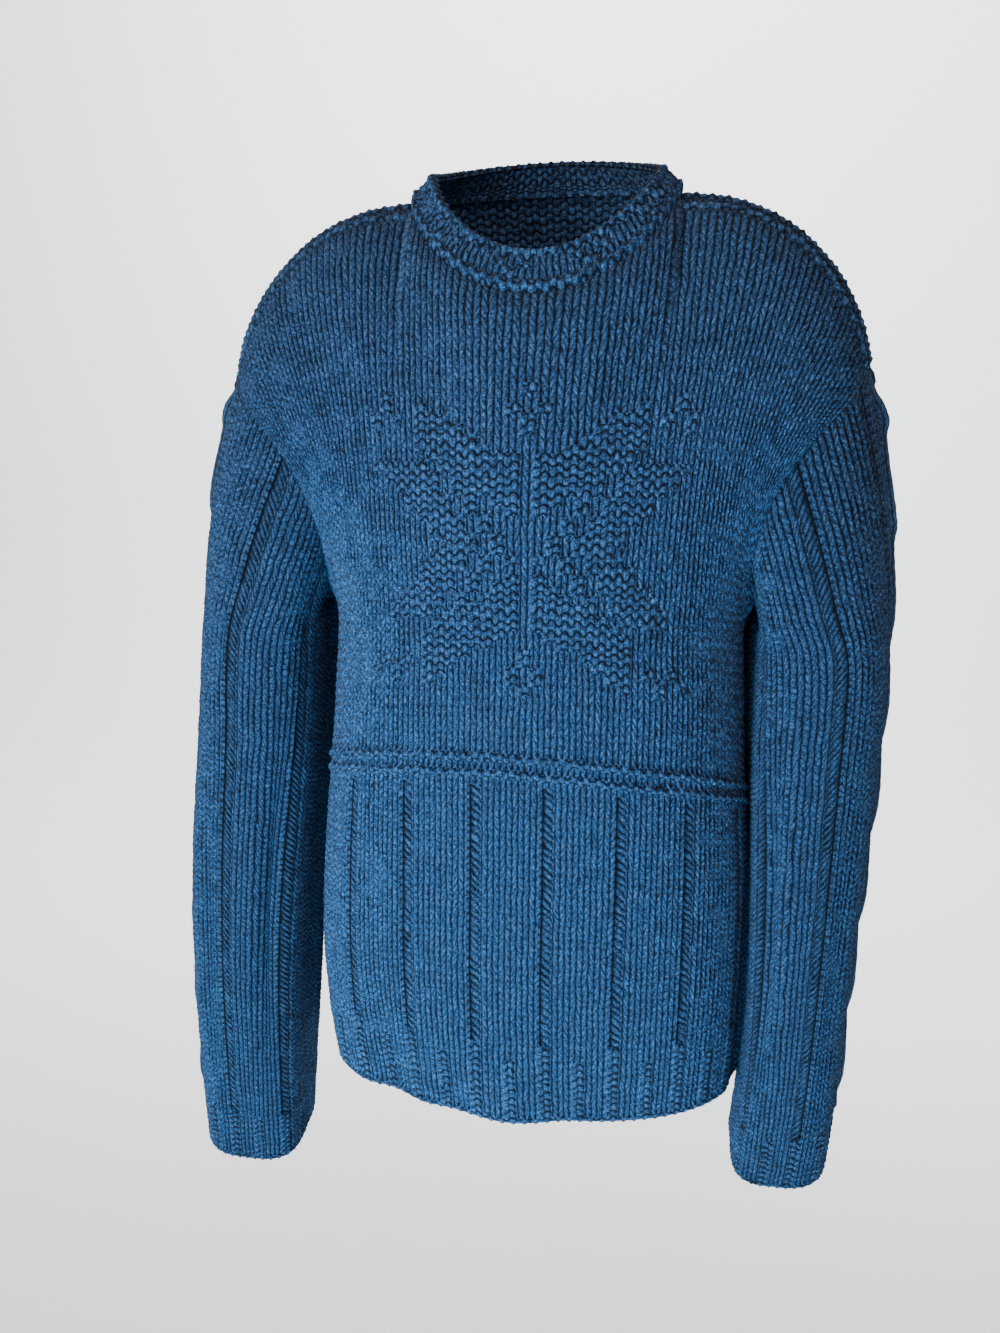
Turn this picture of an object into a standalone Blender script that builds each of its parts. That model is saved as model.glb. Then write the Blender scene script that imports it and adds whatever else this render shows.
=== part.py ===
"""Hand-knitted wool sweater with a star on the chest, hollow and open, as it hangs when worn.

Five knitted pieces: front, back, two sleeves and a neckband. Each is a wall with a plain inside
and the knitting's raised form on its outside. Millimetres below, metres in the model, +Z up.
The front faces -Y, the wearer's left is +X, and the origin is midway between the neck sides,
at the height where the sweater rests on the shoulders.
"""

import math

import bpy
import numpy as np

MM = 0.001
COLLECTION = "snowflake_sweater"

# The shoulders lean: the wearer's left one sits this much higher, the right one as much lower
LEAN = 7.0
LEAN_SPAN, LEAN_FADE = 238.0, 260.0

# The cloth
WALL = 3.6
SEAM_GAP = 0.8
BAND_GAP = 0.7

# The knitting of a panel: stitches across, and what they make, measured up from the hem
PANEL_STITCHES = 54
STITCH_WIDTH = 9.4
LADDER_FIRST = 2.5
LADDER_EVERY = 6
LADDER_HALF = 1.1
LADDER_DEPTH = 1.5
HEM_BAND = 60.0
RIDGE_LOW, RIDGE_HIGH, RIDGE_TOP = 316.0, 337.0, 345.0
RIDGE_HALF = 8.0
RIDGE_RISE = 2.4
MOSS_RISE = 1.2
BLOCK_STITCHES = 3
BLOCK_HEIGHT = 14.0

# The star, in millimetres of cloth from its middle
STAR_STITCH = 0.5
STAR_HEIGHT = 488.0
STAR_RISE = 1.5
RAY_START, RAY_SLOPE = 16.0, 0.56
RAY_REACH, RAY_WIDTH = 74.0, 40.0
SIDE_RAY_WIDTH, SIDE_RAY_REACH, SIDE_RAY_GAP = 54.0, 62.0, 4.0
CORNER_ACROSS, CORNER_UP, CORNER_HALF = 106.0, 88.0, 18.0

# Two ridges follow each shoulder seam, measured down from it
SHOULDER_RIDGES = (8.0, 22.0)
SHOULDER_RIDGE_HALF = 7.0

# Grid rows: heights up from the hem, rows at the chest and beside the armhole, drops from the top
HEM_ROWS = (0.0, 4.0, 18.0, 32.0, 46.0, HEM_BAND)
SKIRT_ROWS = (105.0, 150.0, 195.0, 240.0, 285.0)
RIDGE_ROWS = (308.0, RIDGE_LOW, 322.0, 331.0, RIDGE_HIGH, RIDGE_TOP)
CHEST_ROWS, CHEST_SPAN = 5, 92.0
ARMHOLE_ROWS, ROW_STEP = 5, 24.5
DROPS = (50.0, 32.0, SHOULDER_RIDGES[1], 15.0, SHOULDER_RIDGES[0], 0.0)

# The neckline's half width in stitches, and grid lines too near its corners to keep
NECK_STITCHES = 9.5
NECK_SHARE = NECK_STITCHES / (PANEL_STITCHES / 2)
LINE_CLEARANCE = 0.3

# Inside of the neckline and of the neckband's top edge: half width, then (y, z) of three places
NECK_BASE = dict(half=96.0, front=(-82.0, -50.0), side=(2.0, 13.0), back=(85.0, 20.0))
NECK_TOP = dict(half=77.0, front=(-65.0, -22.0), side=(3.0, 30.0), back=(72.0, 44.0))
NECK_MIDDLE_FACING = (0.0, 0.86, 0.51)
NECK_SIDE_FACING = (0.36, 0.0, 0.93)
NECK_SIDE_FADE = 2.5
BAND_SHARES = (0.0, 0.14, 0.42, 0.72, 0.88, 1.0)
BAND_BOW = 2.5
BAND_RISE = 1.6

# Shoulder seam, from the neck to the armhole
SHOULDER = [
    # x, z
    (96.0, 13.0),
    (136.0, 6.0),
    (172.0, -10.0),
    (203.0, -37.0),
    (225.0, -70.0),
    (238.0, -106.0),
]

# Front half of the armhole, from the shoulder seam round to the underarm
ARMHOLE = [
    # x, forward, z, then the way the cloth faces: out, forward, up
    (238.0, 0.0, -106.0, 0.85, 0.00, 0.52),
    (221.0, 42.0, -125.0, 0.62, 0.74, 0.26),
    (192.0, 66.0, -154.0, 0.36, 0.93, 0.06),
    (166.0, 70.0, -196.0, 0.06, 0.99, -0.10),
    (161.0, 46.0, -241.0, 0.00, 0.86, -0.51),
    (172.0, 0.0, -272.0, 0.00, 0.00, -1.00),
]
ARMHOLE_BACK = 0.92

# Sections of the body below the underarm, inside the cloth
BODY = [
    # middle z, side z, half width, front depth, back depth, middle x
    (-284.0, -294.0, 157.0, 132.0, 92.0, 0.0),
    (-330.0, -350.0, 161.0, 134.0, 92.0, 0.0),
    (-385.0, -440.0, 169.0, 130.0, 97.0, -1.0),
    (-470.0, -515.0, 180.0, 125.0, 104.0, -2.0),
    (-560.0, -594.0, 186.0, 123.0, 108.0, -3.0),
    (-640.0, -662.0, 185.0, 121.0, 108.0, -2.0),
    (-700.0, -712.0, 181.0, 117.0, 104.0, 0.0),
]
BODY_SQUARENESS = 2.35
SIDE_DROOP = 2.2

# The skirt hangs less stretched at its sides, so its ridges run lower there
SIDE_SLACK = 0.13
SLACK_TOP = 600.0

# Fullness of the upper body between the shoulders and the underarm
CHEST_SHARES = (0.0, 0.08, 0.2, 0.36, 0.54, 0.72, 0.88)
CHEST_FULL = {"front": 24.0, "back": 20.0}
CHEST_CROWN = 6.0
CHEST_BIAS, CROWN_BIAS = 0.8, 0.6
SHOULDER_FULL, SHOULDER_CROWN = 18.0, 11.0
SHOULDER_FROM, SHOULDER_SPAN = 0.2, 0.35
EDGE_BLEND = 2.4
NECK_FADE, NECK_EASE = 0.35, 0.35

# Hanging folds of the body
BODY_FOLDS = [
    # panel, stitch, middle height, reach, depth, half width in stitches
    ("front", -23.0, 100.0, 240.0, -6.0, 3.0),
    ("front", 23.0, 90.0, 230.0, -6.0, 3.0),
    ("front", -1.0, 0.0, 120.0, 8.0, 6.0),
    ("front", -12.5, 20.0, 130.0, -6.0, 4.0),
    ("back", -15.0, 230.0, 190.0, -7.0, 4.0),
    ("back", 0.0, 210.0, 160.0, 5.0, 6.0),
    ("back", 14.0, 210.0, 190.0, -8.0, 4.0),
]
FOLD_FADE = 2.5

# Sections of the sleeves below the underarm, outside the cloth
SLEEVES = {
    "sleeve_right": [
        # z, outer x, inner x, middle y, depth, and how far its back hugs the body
        (-310.0, -274.0, -178.0, -6.0, 150.0, 32.0),
        (-400.0, -285.0, -184.0, -12.0, 140.0, 32.0),
        (-500.0, -296.0, -194.0, -22.0, 127.0, 32.0),
        (-600.0, -302.0, -203.0, -31.0, 115.0, 32.0),
        (-700.0, -302.0, -208.0, -40.0, 104.0, 26.0),
        (-799.0, -300.0, -211.0, -46.0, 94.0, 14.0),
    ],
    "sleeve_left": [
        (-310.0, 270.0, 172.0, -8.0, 154.0, 36.0),
        (-400.0, 270.0, 178.0, -20.0, 144.0, 32.0),
        (-500.0, 266.0, 183.0, -34.0, 131.0, 18.0),
        (-600.0, 262.0, 184.0, -46.0, 118.0, 14.0),
        (-690.0, 260.0, 183.0, -54.0, 107.0, 14.0),
        (-758.0, 257.0, 178.0, -58.0, 97.0, 14.0),
    ],
}
SLEEVE_SQUARENESS = 2.4
SLEEVE_HUG = 14.0
SLEEVE_ROWS = 32
CROWN_SHARES = (0.33, 0.66)
CROWN_FULL = 8.0
UNDERARM_FULL = 5.0
PASSAGE = (0.91, 0.0, -0.41)

# Hanging folds of a sleeve, placed round it: 0 outer, 1 inner, positive in front, negative behind
SLEEVE_FOLDS = [
    # place, middle and reach down the sleeve out of 1, depth, half width
    (0.66, 0.55, 0.42, -9.0, 0.10),
    (0.36, 0.65, 0.33, -4.0, 0.10),
    (-0.40, 0.58, 0.38, -8.0, 0.10),
    (-0.74, 0.45, 0.34, -6.0, 0.10),
]

# The rope cable down the outer line of each sleeve, and the cuff's band
CABLE_TURN = 78.0
CABLE_SWING = 13.0
CABLE_STRAND = 10.0
CABLE_RISE, CABLE_CROSS, CABLE_FADE = 5.0, 0.25, 30.0
CUFF_BAND = 56.0

YARN_BLUE = (0.022, 0.070, 0.185)


def clear_scene():
    for thing in list(bpy.data.objects):
        bpy.data.objects.remove(thing, do_unlink=True)


def wool(name, shade):
    material = bpy.data.materials.new(name + "_wool")
    material.use_nodes = True
    surface = material.node_tree.nodes["Principled BSDF"]
    surface.inputs["Base Color"].default_value = [c * shade for c in YARN_BLUE] + [1.0]
    surface.inputs["Roughness"].default_value = 0.95
    surface.inputs["Metallic"].default_value = 0.0
    return material


def smooth(values, at):
    """A smooth curve through evenly numbered rows of values, read at fractional row numbers."""
    values = np.asarray(values, float)
    slopes = np.gradient(values, axis=0)
    low = np.clip(np.floor(at).astype(int), 0, len(values) - 2)
    t = (at - low).reshape((-1,) + (1,) * (values.ndim - 1))
    return (
        values[low] * (2 * t**3 - 3 * t**2 + 1)
        + values[low + 1] * (3 * t**2 - 2 * t**3)
        + slopes[low] * (t**3 - 2 * t**2 + t)
        + slopes[low + 1] * (t**3 - t**2)
    )


def smooth_line(values, count):
    return smooth(values, np.linspace(0, len(values) - 1, count))


def lengths_along(points):
    """Distance from the first row of points, along each column of them."""
    steps = np.linalg.norm(np.diff(points, axis=0), axis=-1)
    return np.concatenate([np.zeros((1,) + steps.shape[1:]), np.cumsum(steps, axis=0)])


def read_line(points, distances):
    """Points at given distances along a fine line."""
    along = lengths_along(points)
    columns = [np.interp(distances, along, points[:, k]) for k in range(points.shape[1])]
    return np.stack(columns, -1)


def unit(vectors):
    return vectors / np.maximum(np.linalg.norm(vectors, axis=-1, keepdims=True), 1e-9)


def hump(x):
    """1 at 0, falling smoothly to 0 at 1 either way."""
    return np.cos(np.clip(x, -1, 1) * math.pi / 2) ** 2


def ease(x):
    x = np.clip(x, 0.0, 1.0)
    return x * x * (3 - 2 * x)


def neck_point(places, angle, side):
    """A point of a neck loop: angle 0 is its middle front or back, a right angle is the shoulder."""
    middle = places["front"] if side < 0 else places["back"]
    turn = math.cos(angle)
    y = places["side"][0] + (middle[0] - places["side"][0]) * turn
    z = places["side"][1] + (middle[1] - places["side"][1]) * max(turn, 0.0) ** 1.5
    return np.array([places["half"] * math.sin(angle), y, z])


def neck_facing(angle, side):
    """The way the cloth faces along the neckline seam."""
    turn = math.cos(angle)
    middle = np.array(NECK_MIDDLE_FACING) * [1, side, 1]
    shoulder = np.array(NECK_SIDE_FACING) * [np.sign(math.sin(angle)), 1, 1]
    return unit(turn * middle + (1 - turn) * shoulder)


def neck_angle(across):
    return across / NECK_SHARE * math.pi / 2


def armhole_line(side):
    """Fine points and facings of one half of the armhole at +X, from the shoulder to the underarm."""
    line = smooth_line(ARMHOLE, 161)
    depth = side * (ARMHOLE_BACK if side > 0 else 1.0)
    return line[:, :3] * [1, depth, 1], unit(line[:, 3:] * [1, side, 1])


def top_edge(across, side):
    """Points and facings of a panel's top edge: neckline in the middle, shoulder seams beyond."""
    seam = smooth_line(SHOULDER, 200)
    length = lengths_along(seam)[-1]
    slopes = unit(np.gradient(seam, axis=0))
    points, facings = [], []
    for u in across:
        if abs(u) < NECK_SHARE + 1e-6:
            points.append(neck_point(NECK_BASE, neck_angle(u), side))
            facings.append(neck_facing(neck_angle(u), side))
            continue
        share = (abs(u) - NECK_SHARE) / (1 - NECK_SHARE)
        x, z = read_line(seam, share * length)
        slope = read_line(np.column_stack([seam, slopes]), share * length)[2:]
        y = NECK_BASE["side"][0] * (1 - ease(share * NECK_SIDE_FADE))
        points.append((math.copysign(x, u), y, z))
        facings.append((math.copysign(-slope[1], u), 0.0, slope[0]))
    return np.array(points), unit(np.array(facings))


def eased_top(across, side):
    """The top edge with its corner at the neck rounded off, which the chest below it follows."""
    offsets = np.linspace(-NECK_EASE, NECK_EASE, 15)[1:-1]
    weights = hump(offsets / NECK_EASE)
    inward = np.minimum((1 - np.abs(across)) / offsets[-1], 1)
    total = 0
    for offset, weight in zip(offsets, weights):
        total = total + weight * top_edge(across + offset * inward, side)[0]
    return total / weights.sum()


def body_section(row, across, side):
    """One section of a panel below the underarm, its stitches evenly spread from seam to seam."""
    middle_z, side_z, half, front, back, middle_x = row
    depth = front if side < 0 else back
    angle = np.linspace(-math.pi / 2, math.pi / 2, 241)
    power = 2 / BODY_SQUARENESS
    curve_x = half * np.sign(np.sin(angle)) * np.abs(np.sin(angle)) ** power
    curve_y = side * depth * np.abs(np.cos(angle)) ** power
    curve = np.column_stack([curve_x, curve_y])
    spread = read_line(curve, (across + 1) / 2 * lengths_along(curve)[-1])
    z = middle_z + (side_z - middle_z) * np.abs(across) ** SIDE_DROOP
    return np.column_stack([spread[:, 0] + middle_x, spread[:, 1], z])


def panel_lines(across, side):
    """Fine lines down a panel between its edges, one for each place across."""
    top, _ = top_edge(across, side)
    eased = eased_top(across, side)
    under = body_section(BODY[0], across, side)
    arm, _ = armhole_line(side)
    full = CHEST_FULL["front" if side < 0 else "back"]
    near_edge = (np.abs(across) ** EDGE_BLEND)[:, None]
    mirror = np.column_stack([np.sign(across), np.ones((len(across), 2))])
    rows = []
    for t in CHEST_SHARES:
        bow = read_line(arm, t * lengths_along(arm)[-1]) - (arm[0] * (1 - t) + arm[-1] * t)
        swell = full * math.sin(math.pi * t**CHEST_BIAS)
        crown = CHEST_CROWN * math.sin(math.pi * t**CROWN_BIAS)
        over = ease((np.abs(across) - SHOULDER_FROM) / SHOULDER_SPAN)
        over = over * math.sin(math.pi * math.sqrt(t)) * (1 - t)
        forward = side * (swell + SHOULDER_FULL * over)
        chest = np.column_stack([0 * over, forward, crown + SHOULDER_CROWN * over])
        edge_top = top + (eased - top) * ease(t / NECK_FADE)
        rows.append(edge_top * (1 - t) + under * t + near_edge * bow * mirror + (1 - near_edge) * chest)
    rows += [body_section(row, across, side) for row in BODY]
    return smooth_line(rows, 420)


def side_line(sign):
    """Fine side seam from the underarm to the hem."""
    underarm = np.array(ARMHOLE[-1][:3]) * [sign, 1, 1]
    sections = [body_section(row, np.array([sign]), -1)[0] * [1, 0, 1] for row in BODY]
    return smooth_line([underarm] + sections, 261)


def underarm_height():
    return (lengths_along(side_line(-1.0))[-1] + lengths_along(side_line(1.0))[-1]) / 2


def stitches_across():
    """Places of the grid lines across a panel, in stitches from its middle."""
    half = PANEL_STITCHES / 2
    lines = {-half, half}
    ladders = LADDER_FIRST + LADDER_EVERY * np.arange(-4, 4)
    for ladder in ladders:
        lines |= {ladder - LADDER_HALF, ladder, ladder + LADDER_HALF, ladder + LADDER_EVERY / 2}
    lines.add(ladders[0] - LADDER_EVERY / 2)
    kept = {line for line in lines if abs(abs(line) - NECK_STITCHES) > LINE_CLEARANCE}
    return np.array(sorted(kept | {-NECK_STITCHES, NECK_STITCHES}))


def heights_below_armhole():
    """Heights of the grid rows from the hem up to the underarm."""
    underarm = underarm_height()
    chest = np.linspace(underarm - CHEST_SPAN, underarm, CHEST_ROWS)
    return np.concatenate([HEM_ROWS, SKIRT_ROWS, RIDGE_ROWS, chest])


def column_heights(across, total, seam=None):
    """Knitted heights of one column's grid rows from the hem up, and where they really hang."""
    low = heights_below_armhole()
    armhole = low[-1] + ROW_STEP * np.arange(1, ARMHOLE_ROWS + 1)
    slack = SIDE_SLACK * abs(across) ** SIDE_DROOP
    if seam:
        hung = np.interp(low, [0.0, RIDGE_TOP, low[-1]], [0.0, RIDGE_TOP * (1 - slack), seam])
        rest = (total - DROPS[0] - seam) * np.arange(1, ARMHOLE_ROWS + 1) / (ARMHOLE_ROWS + 1.5)
        hung = np.concatenate([hung, seam + rest])
    else:
        hung = np.concatenate([low, armhole])
        fade = 1 - ease((hung - RIDGE_TOP) / (SLACK_TOP - RIDGE_TOP))
        hung = hung - slack * np.minimum(hung, RIDGE_TOP) * fade
    top = total - np.array(DROPS)
    between = [(hung[-1] + top[0]) / 2]
    knitted = np.concatenate([low, armhole, between, top])
    return knitted, np.concatenate([hung, between, top])


def hanging_folds(panel, stitch, height):
    """How far a panel's folds stand out, fading to nothing at its side seams."""
    out = np.zeros(stitch.shape)
    for name, at, middle, reach, depth, half in BODY_FOLDS:
        if name == panel:
            out += depth * hump((stitch - at) / half) * hump((height - middle) / reach)
    return out * ease((PANEL_STITCHES / 2 - np.abs(stitch)) / FOLD_FADE)


def facings_of(points, wrap=False):
    """The facing at each point of a grid of rows from the top down and places left to right."""
    if wrap:
        padded = np.concatenate([points[:, -1:], points, points[:, :1]], axis=1)
        along = padded[:, 2:] - padded[:, :-2]
    else:
        along = np.gradient(points, axis=1)
    return unit(np.cross(np.gradient(points, axis=0), along))


def panel(name, side):
    """A panel's inside points, facings, and each point's stitch, height and drop from the top edge."""
    stitches = stitches_across()
    across = stitches / (PANEL_STITCHES / 2)
    lines = panel_lines(across, side)
    arm, arm_facing = armhole_line(side)
    points, heights, drops = [], [], []
    for k, u in enumerate(across):
        line, seam = lines[:, k], None
        if abs(u) == 1:
            lower = side_line(u)
            seam = lengths_along(lower)[-1]
            line = np.concatenate([arm[:-1] * [u, 1, 1], lower])
        total = lengths_along(line)[-1]
        knitted, hung = column_heights(u, total, seam)
        drops.append(total - hung[::-1])
        points.append(read_line(line, drops[-1]))
        heights.append(knitted[::-1])
    points, heights, drop = np.stack(points, 1), np.stack(heights, 1), np.stack(drops, 1)
    stitch = np.broadcast_to(stitches, heights.shape)
    facings = -side * facings_of(points)
    points = points + facings * hanging_folds(name, stitch, heights)[..., None]
    facings = -side * facings_of(points)
    _, facings[0] = top_edge(across, side)
    underarm_row = len(heights) - len(heights_below_armhole())
    arm_all = np.column_stack([arm, arm_facing])
    for edge, sign in ((0, -1.0), (-1, 1.0)):
        above = drop[: underarm_row + 1, edge]
        read = np.stack([np.interp(above, lengths_along(arm), arm_all[:, n]) for n in (3, 4, 5)], -1)
        facings[: underarm_row + 1, edge] = unit(read * [sign, 1, 1])
        facings[underarm_row + 1 :, edge] = (sign, 0.0, 0.0)
    return dict(
        points=points,
        facings=facings,
        stitch=stitch,
        height=heights,
        drop=drop,
        underarm=underarm_row,
    )


def star(stitch, height):
    """1 where the star's purl and moss figures stand, 0 on the plain knitting."""
    x = np.abs(stitch - STAR_STITCH) * STITCH_WIDTH
    y = np.abs(height - STAR_HEIGHT)
    line = RAY_START + RAY_SLOPE * x
    upright = (x > STITCH_WIDTH / 2) & (x < RAY_REACH) & (y > line) & (y < line + RAY_WIDTH)
    level = (y < line - SIDE_RAY_GAP) & (y < SIDE_RAY_WIDTH) & (x > y) & (x < SIDE_RAY_REACH + y)
    corner = np.abs(x - CORNER_ACROSS) + np.abs(y - CORNER_UP) < CORNER_HALF
    tip = x + np.abs(y - CORNER_UP) < CORNER_HALF
    return (upright | level | corner | tip).astype(float)


def blocks(stitch, height):
    """1 on alternate raised blocks of a hem or cuff band."""
    column = np.floor((stitch - LADDER_FIRST) / BLOCK_STITCHES + 0.5)
    row = np.floor(height / BLOCK_HEIGHT)
    return ((column + row) % 2 == 0).astype(float)


def panel_relief(part, side):
    """How far the knitting of a panel stands out from a plain wall."""
    stitch, height, drop = part["stitch"], part["height"], part["drop"]
    relief = MOSS_RISE * ((height > RIDGE_LOW) & (height < RIDGE_HIGH)).astype(float)
    for ridge in (RIDGE_LOW, RIDGE_HIGH):
        relief += RIDGE_RISE * hump((height - ridge) / RIDGE_HALF)
    from_ladder = (stitch - LADDER_FIRST + LADDER_EVERY / 2) % LADDER_EVERY - LADDER_EVERY / 2
    skirt = (height > HEM_BAND - 1) & (height < RIDGE_LOW - 5)
    relief -= LADDER_DEPTH * skirt * hump(from_ladder / LADDER_HALF)
    relief += MOSS_RISE * blocks(stitch, height) * (height < HEM_BAND) * (height > 2)
    if side < 0:
        relief += STAR_RISE * star(stitch, height)
    on_shoulder = np.abs(stitch) > NECK_STITCHES
    for ridge in SHOULDER_RIDGES:
        relief += RIDGE_RISE * hump((drop - ridge) / SHOULDER_RIDGE_HALF) * on_shoulder
    relief[0] = 0
    relief[:, [0, -1]] = 0
    return relief


def sleeve_section(row, places):
    """One ring of a sleeve, inside its cloth, at places round it."""
    z, outer, inner, middle_y, depth, back_hug = row
    out = math.copysign(1.0, outer)
    half = (abs(outer) - abs(inner)) / 2 - WALL
    middle_x = (abs(outer) + abs(inner)) / 2
    angle = np.linspace(0, math.pi, 181)
    power = 2 / SLEEVE_SQUARENESS
    x = half * np.sign(np.cos(angle)) * np.abs(np.cos(angle)) ** power
    forward = (depth / 2 - WALL) * np.sin(angle) ** power
    spreads = []
    for hug in (SLEEVE_HUG, back_hug):
        curve = np.column_stack([x - hug * (forward / (depth / 2)) ** 2 * (x < 0), forward])
        spreads.append(read_line(curve, np.abs(places) * lengths_along(curve)[-1]))
    spread = np.where(places[:, None] < 0, spreads[1], spreads[0])
    y = middle_y - np.sign(places) * spread[:, 1]
    return np.column_stack([out * (middle_x + spread[:, 0]), y, np.full(len(places), z)])


def sleeve(name, front, back):
    """A sleeve's inside points and facings from the armhole down, with places round and shares down."""
    sections = SLEEVES[name]
    out = math.copysign(1.0, sections[0][1])
    edge = -1 if out > 0 else 0
    last = front["underarm"]
    front_edge, back_edge = front["points"][: last + 1, edge], back["points"][: last + 1, edge]
    front_place = lengths_along(front_edge) / lengths_along(front_edge)[-1]
    back_place = lengths_along(back_edge) / lengths_along(back_edge)[-1]
    loop = np.concatenate([front_edge, back_edge[-2:0:-1]])
    places = np.concatenate([front_place, -back_place[-2:0:-1]])
    front_facing = front["facings"][: last + 1, edge]
    loop_facing = np.concatenate([front_facing, back["facings"][last - 1 : 0 : -1, edge]])
    first = sleeve_section(sections[0], places)
    rings = [loop]
    for t in CROWN_SHARES:
        ring = loop * (1 - t) + first * t
        swell = CROWN_FULL * math.sin(math.pi * t) * (1 - np.abs(places)[:, None] ** 2)
        tuck = UNDERARM_FULL * math.sin(math.pi * t) * ease((np.abs(places)[:, None] - 0.55) / 0.3)
        rings.append(ring + swell * loop_facing + tuck * np.array([out, 0, 0]))
    rings += [sleeve_section(row, places) for row in sections]
    lines = smooth_line(rings, 400)
    totals = lengths_along(lines)[-1]
    shares = np.linspace(0, 1, SLEEVE_ROWS + 1)
    points = np.stack([read_line(lines[:, k], shares * totals[k]) for k in range(len(places))], 1)
    facings = -out * facings_of(points, wrap=True)
    folds = np.zeros(points.shape[:2])
    for at, middle, reach, depth, half in SLEEVE_FOLDS:
        apart = (places - at + 1) % 2 - 1
        folds += depth * hump(apart / half)[None, :] * hump((shares - middle) / reach)[:, None]
    points = points + facings * folds[..., None]
    facings = -out * facings_of(points, wrap=True)
    facings[0] = loop_facing
    points = points + np.array(PASSAGE) * [out * SEAM_GAP, 1, SEAM_GAP]
    return dict(points=points, facings=facings, places=places, shares=shares, length=float(totals.max()))


def sleeve_relief(part):
    """How far the cable and the cuff's blocks stand out from a plain sleeve."""
    points = part["points"]
    half_round = np.linalg.norm(np.diff(points, axis=1, append=points[:, :1]), axis=-1).sum(1) / 2
    beside = part["places"][None, :] * half_round[:, None]
    down = (part["shares"] * part["length"])[:, None]
    turn = math.pi * down / CABLE_TURN
    swing = CABLE_SWING * np.cos(turn)
    over = CABLE_RISE * (1 + CABLE_CROSS * np.sin(turn)) * hump((beside - swing) / CABLE_STRAND)
    under = CABLE_RISE * (1 - CABLE_CROSS * np.sin(turn)) * hump((beside + swing) / CABLE_STRAND)
    up = part["length"] - down
    relief = np.maximum(over, under) * (up > CUFF_BAND) * ease(down / CABLE_FADE)
    relief = relief + MOSS_RISE * blocks(beside / STITCH_WIDTH, up) * (up < CUFF_BAND) * (up > 2)
    relief[0] = 0
    return relief


def neckband(front, back):
    """The neckband's inside points and facings, from its top edge down to the neckline seam."""
    stitches = front["stitch"][0]
    across = stitches / (PANEL_STITCHES / 2)
    at_neck = np.flatnonzero(np.abs(across) < NECK_SHARE + 1e-6)
    base, facing, top = [], [], []
    for part, side, order in ((front, -1, at_neck), (back, 1, at_neck[-2:0:-1])):
        for k in order:
            base.append(part["points"][0, k])
            facing.append(part["facings"][0, k])
            top.append(neck_point(NECK_TOP, neck_angle(across[k]), side))
    base, facing, top = np.array(base), np.array(facing), np.array(top)
    rows = []
    for t in BAND_SHARES:
        rows.append(top * (1 - t) + base * t + facing * BAND_BOW * math.sin(math.pi * t))
    points = np.array(rows)
    facings = facings_of(points, wrap=True)
    facings[-1] = facing
    rise = top - base
    clear = unit(rise - facing * (rise * facing).sum(-1, keepdims=True)) * BAND_GAP
    return dict(points=points + clear, facings=facings)


def band_relief(part):
    """A ridge under the top edge and one above the seam, with blocks between."""
    relief = np.zeros(part["points"].shape[:2])
    relief[1] = BAND_RISE
    relief[2:4, ::2] = BAND_RISE / 2
    relief[4] = BAND_RISE
    return relief


def leaned(points):
    """Points with the lean of the shoulders, which fades out down to the underarm."""
    rise = LEAN * points[:, 0] / LEAN_SPAN * ease(1 + points[:, 2] / LEAN_FADE)
    return points + rise[:, None] * [0, 0, 1]


def walled(name, part, relief, shift, wrap, flip, shade):
    """A closed wall between a grid of inside points and the same grid moved out by wall and relief."""
    inside = part["points"] + shift
    outside = inside + part["facings"] * (WALL + relief)[..., None]
    rows, places = relief.shape
    vertices = leaned(np.concatenate([inside.reshape(-1, 3), outside.reshape(-1, 3)])) * MM
    layer = rows * places

    def at(row, place, out):
        return out * layer + row * places + place % places

    def between(first, second):
        """The four corners of the strip that joins the inside and outside of two neighbours."""
        return [at(*first, 0), at(*first, 1), at(*second, 1), at(*second, 0)]

    faces = []
    across = places if wrap else places - 1
    for row in range(rows - 1):
        for place in range(across):
            ring = [(row, place), (row + 1, place), (row + 1, place + 1), (row, place + 1)]
            faces.append([at(r, p, 1) for r, p in ring])
            faces.append([at(r, p, 0) for r, p in reversed(ring)])
    for place in range(across):
        faces.append(between((0, place), (0, place + 1)))
        faces.append(between((rows - 1, place + 1), (rows - 1, place)))
    if not wrap:
        for row in range(rows - 1):
            faces.append(between((row + 1, 0), (row, 0)))
            faces.append(between((row, places - 1), (row + 1, places - 1)))
    if flip:
        faces = [face[::-1] for face in faces]
    mesh = bpy.data.meshes.new(name)
    mesh.from_pydata(vertices.tolist(), [], faces)
    mesh.shade_smooth()
    mesh.materials.append(wool(name, shade))
    piece = bpy.data.objects.new(name, mesh)
    bpy.data.collections[COLLECTION].objects.link(piece)
    return piece


def main():
    clear_scene()
    collection = bpy.data.collections.new(COLLECTION)
    bpy.context.scene.collection.children.link(collection)
    front, back = panel("front", -1), panel("back", 1)
    apart = np.array([0, SEAM_GAP / 2, 0])
    walled("front", front, panel_relief(front, -1), -apart, wrap=False, flip=False, shade=1.0)
    walled("back", back, panel_relief(back, 1), apart, wrap=False, flip=True, shade=0.97)
    for name in SLEEVES:
        part = sleeve(name, front, back)
        left = SLEEVES[name][0][1] > 0
        walled(name, part, sleeve_relief(part), np.zeros(3), wrap=True, flip=left, shade=0.95)
    band = neckband(front, back)
    walled("neckband", band, band_relief(band), np.zeros(3), wrap=True, flip=False, shade=0.92)


main()
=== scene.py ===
"""Chunky denim-blue wool sweater, hand-knitted, as it hangs when worn, in a plain studio.

Each knitted piece lies on its CAD solid: the same outline, seams and hanging folds, worked out from the
same named sizes, with every stitch raised on it. Lengths are millimetres below, metres in the scene.
The front faces -Y and the wearer's left is +X.
"""

import math

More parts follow.
